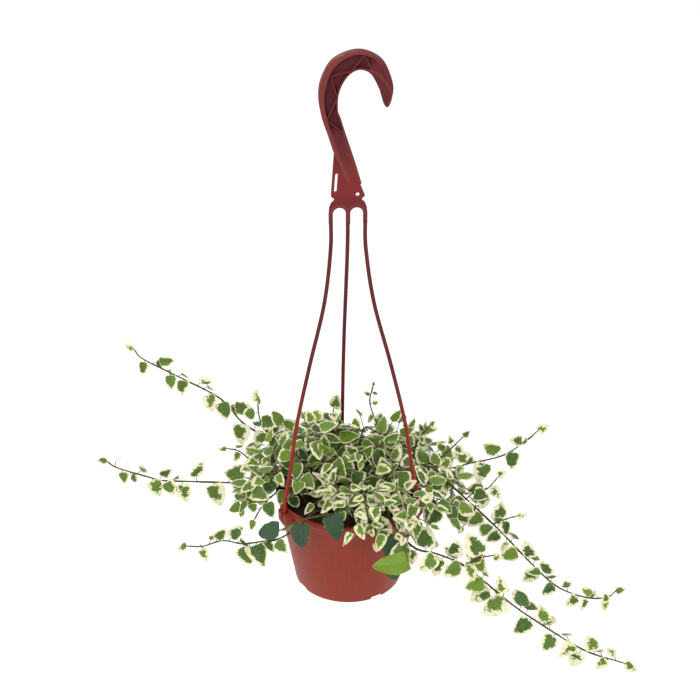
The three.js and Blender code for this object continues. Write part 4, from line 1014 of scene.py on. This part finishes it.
def node_points(name):
    """A KD tree of a CAD node's corners, in the pot's millimetres."""
    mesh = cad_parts[name].data
    corners = np.empty(len(mesh.vertices) * 3, np.float32)
    mesh.vertices.foreach_get("co", corners)
    corners = np.unique(np.round(corners.reshape(-1, 3) * 1000 + HANG_POINT, 3), axis=0)
    tree = KDTree(len(corners))
    for number, corner in enumerate(corners):
        tree.insert(corner, number)
    tree.balance()
    return tree


def miss(tree, points):
    """The furthest that any of these points lies from a corner of the CAD node."""
    return max(tree.find(point)[2] for point in points)


# %% Placing leaves
def column(values):
    """Values as a column, to multiply rows of vectors."""
    return np.asarray(values, float)[:, None]


def place_leaves(plan, number, index, attempt, spot, way, share, tip, light=LIGHT):
    """The frames of leaves, as arrays with one row a leaf. A leaf leaves its stem to one side, leans along
    it, hangs a little and turns its face to the light; draws sway each of these. At the tip it runs on along
    the stem. Its stalk lifts it over the stem."""
    sway = [2 * draw(plan["seed"], number, index, attempt, c) - 1 for c in range(11)]
    loose = column(1 + 0.3 * attempt)
    sky = light + 0.35 * unit(spot * [1, 1, 0])
    hand = np.where(index % 2 == 1, 1, -1) if plan["hand"] is None else np.full(len(index), plan["hand"])
    side = unit(np.cross(way, sky)) * column(hand * np.where(attempt % 4 == 3, -1, 1))
    tip = column(tip)
    along = unit(way * (1.6 * tip + (1 - tip) * (plan["lean"] + 0.3 * loose * column(sway[10])))
                 + side * (tip * 0.2 * column(sway[0]) + (1 - tip) * (0.75 + 0.3 * loose * column(sway[0])))
                 + UP * (-plan["hang"] + 0.35 * loose * column(sway[1])))
    face = unit(sky - 0.85 * way * np.sum(sky * way, axis=1, keepdims=True))
    face = face + np.stack(sway[2:5], axis=-1) * 0.26 * loose
    face = unit(face - along * np.sum(face * along, axis=1, keepdims=True))
    youth = 1 - plan["taper"] * np.clip((share - 0.62) / 0.38, 0, 1) ** 1.4
    size = plan["leaf"] * youth * (1 + 0.14 * sway[5]) * (1 - 0.025 * attempt)
    reach = (plan["petiole"] + (1.5 - plan["petiole"]) * tip[:, 0]) * (0.85 + 0.3 * np.abs(sway[6]))
    stalk = unit(along + face * (1.6 - 1.4 * tip))
    return {"spot": spot, "neck": spot + stalk * column(reach), "stalk": stalk, "along": along,
            "across": np.cross(along, face), "face": face, "size": size, "fold": 0.2 + 0.12 * sway[7],
            "droop": 0.1 + 0.08 * sway[8], "wave": 1 + 0.5 * sway[9], "share": share,
            "luck": draw(plan["seed"], number, index, 77), "broad": np.ones(len(index))}


def leaf_points(leaves, s, w, h):
    """Points (leaf, point, 3) at shares of the leaves' length: s along, w across and h above the midrib's
    base. Each is one number or an array (leaf, point)."""
    places = leaves["neck"][:, None]
    for key, share in (("along", s), ("across", w), ("face", h)):
        places = places + leaves[key][:, None] * np.asarray(share)[..., None] * leaves["size"][:, None, None]
    return places


def rolled(leaves, angle):
    """Leaves turned about their midribs."""
    across = leaves["across"] * np.cos(angle) + leaves["face"] * np.sin(angle)
    face = leaves["face"] * np.cos(angle) - leaves["across"] * np.sin(angle)
    return {**leaves, "across": across, "face": face}


def pick(leaves, rows):
    """Some rows of leaves, by their numbers."""
    return {key: values[rows] for key, values in leaves.items()}


def stack(groups):
    """Several groups of leaves as one."""
    return {key: np.concatenate([group[key] for group in groups]) for key in groups[0]}


# %% Reading the CAD node's choices
def cad_leaves(plan, number, places, bare, tree):
    """The leaves that the CAD node shows on a line: at each place the try whose tip is a corner there."""
    ways = headings(places)
    steps = np.linalg.norm(np.diff(places, axis=0), axis=1)
    if number == 0:
        steps[0] = 0
    travelled = np.concatenate([[0], np.cumsum(steps)])
    last = len(places) - 1
    tries = np.arange(LEAF_TRIES)
    found = []
    for index in range(1, last + 1):
        if travelled[index] < bare:
            continue
        many = np.full(LEAF_TRIES, index)
        spot, way = (np.tile(rows[index], (LEAF_TRIES, 1)) for rows in (places, ways))
        rows = place_leaves(plan, number, many, tries, spot, way, many / last, many == last)
        tips = leaf_points(rows, 1, 0, column(-rows["droop"]))[:, 0]
        misses = np.array([tree.find(tip)[2] for tip in tips])
        if misses.min() < SAME_TIP:
            found.append(pick(rows, [int(misses.argmin())]))
    return found


def read_stem(plan):
    """The line, the side shoots and the leaves of one CAD node."""
    tree = node_points(plan["name"])
    tried = []
    for attempt in range(LINE_TRIES):
        coarse, fine = stem_line(plan, attempt)
        tried.append(miss(tree, first_corners(coarse, plan["thick"])))
        if tried[-1] < SAME_LINE:
            break
    coarse, fine = stem_line(plan, int(np.argmin(tried)))
    lines = [(0, coarse, fine, plan["thick"])]
    found = cad_leaves(plan, 0, coarse, plan["bare"], tree)
    for i, (start, pace, through) in enumerate(plan["shoots"]):
        root = coarse[int(np.floor(start * (len(coarse) - 1) + 0.5))]
        places, finer = even_places(np.vstack([[root], root + np.array(through, float)]), pace)
        leaves = cad_leaves(plan, i + 1, places, 0, tree)
        if leaves:
            lines.append((i + 1, places, finer, 0.85))
            found.extend(leaves)
    print(plan["name"], "try", int(np.argmin(tried)), "off by", round(min(tried), 4), "leaves", len(found))
    return {"plan": plan, "lines": lines, "leaves": stack(found), "miss": min(tried)}


stems = [read_stem(plan) for plan in plans]
print("worst stem miss in mm:", round(max(stem["miss"] for stem in stems), 3))
print("leaves read from the CAD model:", sum(len(stem["leaves"]["size"]) for stem in stems))

# %% [markdown]
# ## More leaves
#
# A solid model holds only some of the leaves of such a bushy plant. Between its places sit smaller
# leaves, and in the mound each stem bears short side shoots. A new leaf is kept only if it stays clear of
# the pot, of the arms and of the leaves that are there. The test uses seven points of each leaf.

# %% Room for a leaf
arm_points = np.vstack([arm_path(turn, 70) for turn in ARM_TURNS])
TEST_ALONG = np.array([0.05, 0.3, 0.3, 0.6, 0.6, 0.75, 1])
TEST_ACROSS = np.array([0, 0.27, -0.27, 0.24, -0.24, 0, 0])
LEAF_ROOM, ARM_ROOM, SHOOT_PACE = 3.8, 3.4, 10.5


def test_points(leaves):
    """Seven points of each leaf, as (leaf, point, 3)."""
    height = column(leaves["fold"]) * abs(TEST_ACROSS) - column(leaves["droop"]) * TEST_ALONG * TEST_ALONG
    return leaf_points(leaves, TEST_ALONG, TEST_ACROSS, height)


def is_free(points, others):
    """Whether a leaf's points keep clear of others, of the arms, and of the pot's wall, lip and soil."""
    x, y, z = points.T
    radius = np.hypot(x, y)
    if np.any((radius < 79) & (z < 111) & (radius > 69)) or np.any((radius < 71) & (z < 99)) or z.min() < 2:
        return False

    def distance_to(many):
        return np.linalg.norm(many[None] - points[:, None], axis=-1).min()

    return distance_to(arm_points) > ARM_ROOM and distance_to(others) > LEAF_ROOM


# %% Places for extra leaves
def extra_places(stem):
    """Where new leaves may sit: halfway between the CAD places of a stem, and on side shoots of the mound's
    stems. A line is (places, key of its draws, leaf size, share of places used, fine path of the shoot)."""
    plan, name = stem["plan"], stem["plan"]["name"]
    bushy = name.startswith(("mound", "crown", "trailing", "tuft", "left_stem", "front_stem"))
    scale, chance = (1.0, 0.75) if bushy else (0.8, 0.9) if name.endswith("_long") else (0.6, 0.6)
    lines = [((coarse[1:-1] + coarse[2:]) / 2, 200 + number, scale, chance, None)
             for number, coarse, _, _ in stem["lines"]]
    if not bushy:
        return lines
    coarse = stem["lines"][0][1]
    ways = headings(coarse)
    for i in range(2, len(coarse) - 1):
        for branch in (0, 1):
            if draw(plan["seed"], 510 + branch, i) > 0.6:
                continue
            sway = 2 * draw(plan["seed"], 500 + branch, i, np.arange(6)) - 1
            side = np.cross(ways[i], UP) * (1 if (i + branch) % 2 else -1)
            lean = unit(side * 0.9 + ways[i] * 0.4 + unit(coarse[i] * [1, 1, 0]) * 0.5
                        + UP * (0.1 + 0.5 * sway[0]) + 0.4 * sway[1:4])
            straight = coarse[i] + np.array([0, 0.35, 0.7, 1])[:, None] * (20 + 11 * sway[4]) * lean
            bend = np.array([0, 0.2, 0.2, -0.15])[:, None] * 6 * (lean * 0.5 + UP * 0.25)
            places, finer = even_places(straight + bend, SHOOT_PACE)
            if finer[:, 2].min() < 101 and np.hypot(*finer[finer[:, 2].argmin(), :2]) < 80:
                continue
            lines.append((places[1:], 300 + 10 * i + branch, 1.05, 1.0, finer))
    return lines


# %% Extra leaves
def extra_leaf(plan, number, i, attempt, spot, way, share, is_tip, scale):
    """One new leaf at place i of a line. It turns to the light or more to the sky, is slimmer than a CAD leaf
    by a draw, and is rolled a little. At the pot's front it is slimmer still, and more folded."""

    def lot(channel):
        return draw(plan["seed"], number, np.array([i]), channel)

    leaf = place_leaves(plan, number, np.array([i + 1]), np.array([attempt]), spot[None], way[None],
                        np.array([share]), np.array([is_tip]), unit(LIGHT + UP * 1.8 * lot(8)))
    leaf["size"] = leaf["size"] * (scale + 0.25 * lot(6))
    leaf["luck"] = lot(78)
    leaf["broad"] = 0.76 + 0.24 * lot(79)
    if plan["name"].startswith(("tuft", "front")):
        leaf["broad"] = leaf["broad"] * 0.82
        leaf["fold"] = leaf["fold"] + 0.3 * leaf["luck"]
    return rolled(leaf, 0.6 * (2 * lot(7) - 1))


crowd = np.concatenate([test_points(stem["leaves"]).reshape(-1, 3) for stem in stems])
for stem in stems:
    plan = stem["plan"]
    stem["extra"], stem["shoots"] = [], []
    if plan["name"].startswith("green"):
        continue
    for places, number, scale, chance, shoot in extra_places(stem):
        ways = headings(places) if len(places) > 1 else np.array([UP])
        count, before = len(places), len(stem["extra"])
        for i, spot in enumerate(places):
            if draw(plan["seed"], number, i, 5) > chance:
                continue
            share = 0.3 + 0.6 * i / count if shoot is None else 0.4 + 0.45 * (i + 1) / count
            is_tip = shoot is not None and i == count - 1
            for attempt in range(5):
                leaf = extra_leaf(plan, number, i, attempt, spot, ways[i], share, is_tip, scale)
                points = test_points(leaf)[0]
                near = crowd[np.linalg.norm(crowd - spot, axis=1) < 45]
                if is_free(points, near):
                    crowd = np.vstack([crowd, points])
                    stem["extra"].append(leaf)
                    break
        if shoot is not None and len(stem["extra"]) > before:
            stem["shoots"].append(shoot)

# %% The level leaf
# A young leaf lies level before the right green stem, on a shoot of its own. A share over 1 marks it bright.
level_shoot = smooth_curve(np.array([[35, -84, 105], [40, -96, 107], [46, -106, 101], [49, -110, 93.0]]),
                           np.linspace(0, 1, 13))
level = unit(np.array([[-1, 0, -0.08]]))
level_face = unit(LIGHT - level * (level @ LIGHT))
level_values = {"size": 36, "fold": 0.2, "droop": 0.1, "wave": 1.2, "share": 1.2, "luck": 0.4, "broad": 0.72}
level_leaf = {
    "spot": level_shoot[-1:], "neck": level_shoot[-1:] + [[0.5, -1.5, -1.5]],
    "stalk": unit(np.array([[0.3, -1, -1]])), "along": level, "across": np.cross(level, level_face),
    "face": level_face, **{key: np.array([value]) for key, value in level_values.items()}}
for stem in stems:
    if stem["plan"]["name"] == "green_stem_right":
        stem["extra"], stem["shoots"] = [level_leaf], [level_shoot]
spare = np.linalg.norm(crowd[:, None] - test_points(level_leaf)[0], axis=-1).min()
print("room about the level leaf in mm:", round(float(spare), 1))
print("leaves added:", sum(len(stem["extra"]) for stem in stems),
      "on shoots:", sum(len(stem["shoots"]) for stem in stems))

# %% [markdown]
# ## The leaf's surface
#
# A creeping fig's leaf is a rounded oval on a short stalk, folded a little along its midrib, with a wavy
# margin. It is a grid of rows u along the leaf and columns t across it. Half its width is A u^p (1-u)^q,
# the fold lifts a point by how far out it is, and a slow wave runs round the edge. The underside lies a
# little below and meets the upper side in the margin, so the leaf is one thin closed shell.

# %% Leaf grid
def leaf_template(rows, columns, lower):
    """Grid numbers of a shell: the upper side has rows by columns cells and the underside rows by lower, and
    both share the margin. Base and tip are one point each. Returns u, t, underside mark and the faces."""
    top = np.zeros((rows + 1, columns + 1), int)
    top[-1] = 1
    top[1:-1] = 2 + np.arange((rows - 1) * (columns + 1)).reshape(rows - 1, -1)
    under = np.zeros((rows + 1, lower + 1), int)
    under[-1] = 1
    under[1:-1, 0], under[1:-1, -1] = top[1:-1, 0], top[1:-1, -1]
    under[1:-1, 1:-1] = top.max() + 1 + np.arange((rows - 1) * (lower - 1)).reshape(rows - 1, -1)
    share = np.linspace(0, 1, rows + 1)
    share = 0.35 * share + 0.65 * (1 - np.cos(np.pi * share)) / 2
    count = under.max() + 1
    u, t, low = np.zeros(count), np.zeros(count), np.zeros(count)
    for grid, cells in ((top, columns), (under, lower)):
        u[grid] = share[:, None]
        line = np.linspace(-1, 1, cells + 1)
        t[grid[1:-1]] = np.sign(line) * np.abs(line) ** 0.85
    t[:2] = 0
    low[under[1:-1, 1:-1]] = 1
    faces = []
    for grid, flip in ((top, False), (under, True)):
        middle = [grid[1:-2, :-1], grid[1:-2, 1:], grid[2:-1, 1:], grid[2:-1, :-1]]
        middle = np.stack(middle, axis=-1).reshape(-1, 4)
        ends = np.vstack([np.stack([grid[0, 1:], grid[1, 1:], grid[1, :-1]], -1),
                          np.stack([grid[-2, :-1], grid[-2, 1:], grid[-1, 1:]], -1)])
        faces.append((middle[:, ::-1] if flip else middle, ends[:, ::-1] if flip else ends))
    return u, t, low, faces


FINE_LEAF = leaf_template(8, 6, 4)
SMALL_LEAF = leaf_template(6, 4, 2)
BROAD_LEAF = leaf_template(12, 8, 6)
print("faces of a leaf:",
      [sum(len(f) for side in kind[3] for f in side) for kind in (FINE_LEAF, SMALL_LEAF, BROAD_LEAF)])
# The length in mm from which a leaf's edge has its full waves.
GROWN = 16.5


def leaf_shells(leaves, template, heart):
    """All leaves of one kind as arrays (leaf, point): s along, w across and the height. w is
    A u^0.28 (1-u)^q t, rippled, with A near 0.7 and q from 0.64 to 0.82 by the leaf's luck. The base is
    heart-shaped where the rows near it bend back by heart |t|^1.5. The height is
    fold |w| - droop s^2 + edge waves + veins - thickness. A leaf under the grown size has a calmer edge."""
    u, t, low, _ = template
    size, fold, droop, wave, broad, luck = (
        column(leaves[key]) for key in ("size", "fold", "droop", "wave", "broad", "luck"))
    small = size < GROWN
    wide = (np.where(small, 0.68, 0.73) + 0.06 * (2 * luck - 1)) * broad
    profile = np.clip(u, 1e-6, 1) ** 0.28 * np.clip(1 - u, 0, 1) ** (0.64 + 0.18 * luck)
    ripple = 1 + 0.035 * np.sin(2 * np.pi * (3 + 2 * luck) * u + 50 * luck + 1.7 * np.sign(t))
    w = (wide + 0.03) * profile * ripple * t
    s = u - heart * (0.6 + 0.8 * luck) * np.abs(t) ** 1.5 * (1 - u) ** 5
    slow = np.where(small, 0.02 * np.cos(2 * np.pi * (s - 0.1) / 0.96),
                    0.03 * np.cos(2 * np.pi * (s - 0.04) / 0.7))
    fast = 0.016 * np.sin(2 * np.pi * (3.1 + luck) * s + 40 * luck + 2.2 * np.sign(t))
    edge = (slow * wave * t**2 + fast * np.abs(t) ** 3) * (1 - u**6)
    height = fold * (np.sqrt(w**2 + 0.0009) - 0.03) - droop * s**2 + edge
    veins = 0.012 * np.abs(np.sin(np.pi * 6 * (s - 0.35 * np.abs(w))))
    height = height + veins * (1 - np.abs(t)) * np.abs(t) * 2
    bend = 0.05 * (2 * draw((luck * 1e6).astype(np.int64), 3) - 1) * np.sin(np.pi * u)
    return s, w + bend, height - 0.45 / size * low


# %% [markdown]
# A leaf's colours follow its surface: green round the midrib, with a jagged edge, and cream towards the
# margin, wider on one side and at the tip. So each point carries its distance from the margin in
# millimetres, and each leaf carries its cream's width, the side that has more of it, and a tone.

# %% Distances from the margin
def from_margin(s, w, u, t, size):
    """The distance of each point from the leaf's outline, in millimetres. The outline is the points where
    |t| is 1, the base and the tip. The distance is at most 1.1 times the half width times (1 - |t|) u^0.2."""
    rim = np.abs(t) > 0.999
    rim[:2] = True
    outline_s, outline_w = s[:, rim], w[:, rim]
    away_s = (s[:, :, None] - outline_s[:, None, :]) ** 2
    away_w = (w[:, :, None] - outline_w[:, None, :]) ** 2
    near = np.sqrt((away_s + away_w).min(axis=2))
    inside = np.abs(w).max(axis=1, keepdims=True) * (1 - np.abs(t)) * np.clip(u, 0, 1) ** 0.2
    return np.minimum(near, inside * 1.1) * size[:, None] * (~rim)


def leaf_colours(leaves, plan):
    """Per leaf: the cream's width in mm, the side with more cream, a tone, and how yellow it is."""
    name, size, share = plan["name"], leaves["size"], leaves["share"]
    key = (leaves["luck"] * 1e6).astype(np.int64)
    young = np.clip((share - 0.7) / 0.3, 0, 1) ** 1.5
    width = 0.085 * draw(key, 11) ** 1.3
    cream = size * (0.035 + width)
    if name.startswith(("runner", "sprig")):
        cream = (0.8 * size + 0.8 * plan["leaf"]) * (0.04 + width)
        young = 0.35 * young
    if name == "runner_front_long":
        cream = cream * 1.15
    if name.startswith(("tuft", "front")):
        cream = cream * 1.9
        young = np.maximum(young, 0.65 * draw(key, 15))
    yellow = np.clip(young * 0.8 + (draw(key, 14) > 0.93) * 0.5, 0, 1)
    if name.startswith("green"):
        cream = 0 * cream - 1
        yellow = np.where(share > 1, 1.0, 0.0)
    return cream, 2 * draw(key, 12) - 1, draw(key, 13), yellow


# %% Stalks, hairs and buds
def spindles(starts, bends, ends, radii, sides):
    """Thin rods, one a row, along parabolas from start to end that set out towards the bend. radii gives the
    radius at even steps along them. Returns the points and faces of all of them."""
    steps = len(radii)
    v = np.linspace(0, 1, steps)[None, :, None]
    path = (1 - v) ** 2 * starts[:, None] + 2 * v * (1 - v) * bends[:, None] + v**2 * ends[:, None]
    way = unit(ends - starts)
    side = unit(np.cross(way, [0.31, 0.82, 0.45]))[:, None, None]
    other = np.cross(way[:, None, None], side)
    turns = circle_turns(sides)[:, None]
    ring = side * np.cos(turns) + other * np.sin(turns)
    points = path[:, :, None] + np.asarray(radii)[None, :, None, None] * ring
    ids = np.arange(len(starts) * steps * sides).reshape(len(starts), steps, sides)
    return points.reshape(-1, 3), [walls(ids), ids[:, 0, ::-1], ids[:, -1]]


def rootlets(plan, fine, count):
    """Short dark air roots under a woody stem: they leave it downwards and bend away."""
    number = np.arange(count)
    last = len(fine) - 1
    at = (last * (0.12 + 0.6 * draw(plan["seed"], 601, number))).astype(int)
    start = fine[at]
    sway = 2 * draw(plan["seed"], 602, number[:, None], np.arange(3)) - 1
    length = (4 + 12 * draw(plan["seed"], 603, number) ** 2)[:, None]
    down = unit(np.array([0, -0.1, -1.0]) + 0.9 * sway)
    return start, start + down * length * 0.5 + sway * 1.2, start + down * length + UP * -0.2 * length


# %% [markdown]
# ## Materials of the plant
#
# The variegated leaf's material compares the distance from the margin with a width that jumps along the
# leaf, as the cream of a real leaf runs in steps between its side veins. Noise breaks the border up. The
# green has paler and greyer patches, and a net of side veins in the bump. The underside has the same
# drawing in duller colours.

# %% Leaf materials
LEAF_VALUES = ("margin", "cream", "side", "tone", "yellow")


def leaf_material(name, dark, mid, pale, cream, roughness, dull):
    """A leaf's surface: its greens, the colour of its cream margin, its roughness, and how dull it is."""
    material, tree, surface = start_material(name)
    where = object_place(tree)
    blade = wire(tree, "ShaderNodeUVMap", {}, uv_map="blade").outputs["UV"]
    parts = wire(tree, "ShaderNodeSeparateXYZ", {"Vector": blade})
    s = parts.outputs["X"]
    t = calc(tree, "MULTIPLY_ADD", parts.outputs["Y"], 2.0, -1.0)
    out = calc(tree, "ABSOLUTE", t)
    margin, width, side, tone, yellow = (attribute(tree, key) for key in LEAF_VALUES)

    seat = wire(tree, "ShaderNodeCombineXYZ", {
        "X": calc(tree, "MULTIPLY_ADD", s, 7.0, times(tree, tone, 90.0)),
        "Y": times(tree, calc(tree, "SIGN", t), 3.0), "Z": 0.0}).outputs[0]
    steps = wire(tree, "ShaderNodeTexVoronoi", {"Vector": seat, "Scale": 1.0}, feature="F1").outputs["Color"]
    steps = wire(tree, "ShaderNodeSeparateColor", {"Color": steps}).outputs["Red"]
    ragged = spread(tree, spots(tree, where, 900, 2), 0.3, 0.7, -0.3, 0.3)
    jag = calc(tree, "ADD", calc(tree, "MULTIPLY_ADD", steps, 1.1, 0.45), ragged)
    lean = calc(tree, "MULTIPLY_ADD", times(tree, side, t), 0.95, 1.0)
    tipward = calc(tree, "MULTIPLY_ADD", calc(tree, "POWER", s, 2.0), 0.9, 0.72)
    band = times(tree, times(tree, width, jag), times(tree, lean, tipward))
    inside = calc(tree, "SUBTRACT", margin, band)

    slant = calc(tree, "SUBTRACT", times(tree, s, 7.0), times(tree, out, 1.9))
    veins = spread(tree, calc(tree, "PINGPONG", slant, 0.5), 0.0, 0.09, 1.0, 0.0)
    midrib = spread(tree, out, 0.0, 0.06, 1.0, 0.0)
    veining = calc(tree, "MAXIMUM", times(tree, veins, 0.55), midrib)

    patches = spots(tree, where, 330, 3)
    green = layered(
        tree, dark,
        (spread(tree, patches, 0.38, 0.66), mid),
        (spread(tree, tone, 0.0, 1.0, 0.0, 0.55), pale),
        (spread(tree, inside, 0.1, 1.5, 0.5, 0.0), pale),
        (times(tree, veining, 0.2), paint(118, 142, 76)),
        (times(tree, yellow, 0.8), paint(114, 148, 28)))
    light = layered(
        tree, cream,
        (spread(tree, spots(tree, where, 260, 3), 0.45, 0.75, 0.0, 0.4), paint(206, 196, 138)),
        (times(tree, yellow, 0.4), paint(188, 192, 104)),
        (times(tree, veining, 0.25), paint(184, 178, 116)))
    colour = layered(tree, light, (spread(tree, inside, 0.0, 0.28), green), (dull, paint(148, 152, 98)))
    finish_surface(tree, surface, colour,
                   spread(tree, patches, 0.2, 0.8, roughness - 0.05, roughness + 0.1), 0.4)
    height = calc(tree, "ADD", times(tree, veining, -1.0), times(tree, patches, 0.8))
    relief(tree, surface, height, 0.00035, 0.9)
    return material


leaf_top, leaf_under, green_top, green_under = (
    leaf_material(name, *(paint(*colour) for colour in colours), roughness, dull)
    for name, roughness, dull, *colours in (
        ("variegated leaf, upper side", 0.5, 0,
         (33, 62, 18), (62, 98, 23), (104, 134, 34), (222, 218, 184)),
        ("variegated leaf, underside", 0.62, 0.2,
         (80, 102, 50), (98, 120, 58), (122, 138, 70), (216, 207, 160)),
        ("green leaf, upper side", 0.42, 0,
         (26, 54, 32), (36, 70, 38), (48, 84, 44), (222, 215, 172)),
        ("green leaf, underside", 0.62, 0,
         (84, 108, 70), (98, 122, 80), (112, 134, 90), (222, 215, 172))))

# %% [markdown]
# The stems are woody and grey-brown near the pot and olive towards their tips. One attribute says how
# woody a point is, and fine noise breaks the bark up.

# %% Bark
bark, tree, surface = start_material("stem bark")
where = object_place(tree)
fibre = spots(tree, where, 700, 4, 0.7)
streaked = spread(tree, fibre, 0.3, 0.7)
wood = layered(tree, paint(50, 38, 15), (streaked, paint(90, 72, 34)))
olive = layered(tree, paint(66, 66, 34), (streaked, paint(104, 104, 56)))
finish_surface(tree, surface, layered(tree, olive, (attribute(tree, "woody"), wood)), 0.75, 0.12)
relief(tree, surface, fibre, 0.0003)

# %% [markdown]
# ## Building the stems
#
# For each CAD stem one piece is made: the stem and its shoots as rods, leaf stalks, air roots, buds, and
# its leaves. Its attributes go on the points, and its leaf coordinates into a UV map named "blade".

# %% One stem's piece
def leaf_kinds(stem):
    """Groups of leaves with the grid that each uses."""
    plan = stem["plan"]
    if plan["name"].startswith("green"):
        return [(leaves, BROAD_LEAF, 0.11) for leaves in (stem["leaves"], *stem["extra"])]
    groups = [(stem["leaves"], FINE_LEAF, 0.045)]
    if stem["extra"]:
        groups.append((stack(stem["extra"]), SMALL_LEAF, 0.04))
    return groups


def stem_piece(stem):
    """The fine piece of one stem. Its materials are 0 bark, 1 a leaf's upper side and 2 its underside."""
    plan = stem["plan"]
    green = plan["name"].startswith("green")
    points, faces, paints = [], [], []
    values = {key: [] for key in (*LEAF_VALUES, "woody", "u", "t")}

    def add(shape, numbers=(0, 0, 0), **given):
        """Adds a shape, with a material number for each of its face arrays and values for its points."""
        first = sum(len(part) for part in points)
        points.append(shape[0])
        faces.extend(part + first for part in shape[1])
        paints.extend(numbers)
        for key, store in values.items():
            store.append(np.broadcast_to(given.get(key, 0.0), len(shape[0])))

    # path, thickness, end radius, sides, how woody it is at its root, how much of that it loses to its tip
    rods = [(fine, thick, 0.78, 6, *((0.5, 0.4) if number else (1.15, 1.1)))
            for number, _, fine, thick in stem["lines"]]
    rods += [(shoot, 0.62, 0.42, 5, 0.5, 0.4) for shoot in stem["shoots"]]
    for path, thick, end, sides, root_wood, lost_wood in rods:
        length = np.linspace(0, 1, len(path))
        swell = 1 + 0.12 * np.sin(40 * length + plan["seed"])
        radii = (0.98 * thick + (end - 0.98 * thick) * length) * swell
        old = np.clip(root_wood - lost_wood * length, 0, 1)
        if plan["name"].startswith("runner"):
            old = np.clip(old + 0.15, 0, 1)
        add(lofted(rod(path, radii, sides)), woody=np.repeat(old, sides))

    for leaves, template, heart in leaf_kinds(stem):
        u, t, _, sides = template
        s, w, h = leaf_shells(leaves, template, heart)
        count = len(leaves["size"])
        shift = (np.arange(count) * len(u))[:, None, None]
        groups = [(part[None] + shift).reshape(-1, part.shape[1]) for side in sides for part in side]
        margin = from_margin(s, w, u, t, leaves["size"]).ravel()
        colours = [np.repeat(value, len(u)) for value in leaf_colours(leaves, plan)]
        add((leaf_points(leaves, s, w, h).reshape(-1, 3), groups), (1, 1, 2, 2),
            u=np.tile(u, count), t=np.tile(t, count), **dict(zip(LEAF_VALUES, [margin, *colours])))
        spot, inset = leaves["spot"], leaves["neck"] + leaves["along"] * 0.8
        add(spindles(spot, spot + leaves["stalk"] * 1.5, inset, [0.55, 0.45, 0.42, 0.4],
                     4 if template is SMALL_LEAF else 5), woody=0.12)

    tips = np.array([path[-1] for path, *_ in rods])
    ways = np.array([unit(path[-1] - path[-2]) for path, *_ in rods])
    add(spindles(tips - ways, tips + ways * 1.5, tips + ways * 4, [0.45, 0.62, 0.45, 0.12], 5))
    woody_stem = plan["name"].startswith(("runner", "sprig", "trailing"))
    hairs = rootlets(plan, stem["lines"][0][2], 16 if woody_stem else 6)
    add(spindles(*hairs, [0.2, 0.16, 0.12, 0.06], 3), woody=1.0)

    materials = [bark, green_top, green_under] if green else [bark, leaf_top, leaf_under]
    piece = build_mesh(plan["name"] + "_leafy", in_frame(np.vstack(points)), faces, paints, materials, 70)
    stored = {key: np.concatenate(store).astype(np.float32) for key, store in values.items()}
    for key in (*LEAF_VALUES, "woody"):
        mark_points(piece, key, stored[key])
    corners = np.empty(len(piece.data.loops), np.int32)
    piece.data.loops.foreach_get("vertex_index", corners)
    blade = np.stack([stored["u"][corners], stored["t"][corners] / 2 + 0.5], axis=-1)
    piece.data.uv_layers.new(name="blade").uv.foreach_set("vector", blade.ravel())
    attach(piece, "root")
    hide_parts(plan["name"])
    return piece


# %% All the stems
leafy = [stem_piece(stem) for stem in stems]
triangles = sum(sum(len(face.vertices) - 2 for face in piece.data.polygons) for piece in leafy)
print("leafy pieces:", len(leafy), "triangles:", triangles)

# %% [markdown]
# ## Sizes and finish
#
# The dressed plant must stay the size of the CAD model. Both boxes are kept, and the growth of the dressed
# box over the CAD one is printed.

# %% Sizes
dressed_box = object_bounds()
boxes = {"cad": [[float(c) for c in corner] for corner in cad_box],
         "dressed": [[float(c) for c in corner] for corner in dressed_box]}
print("growth in mm:", [[round(1000 * (b - a), 1) for a, b in zip(*pair)]
                        for pair in zip(boxes["cad"], boxes["dressed"])])
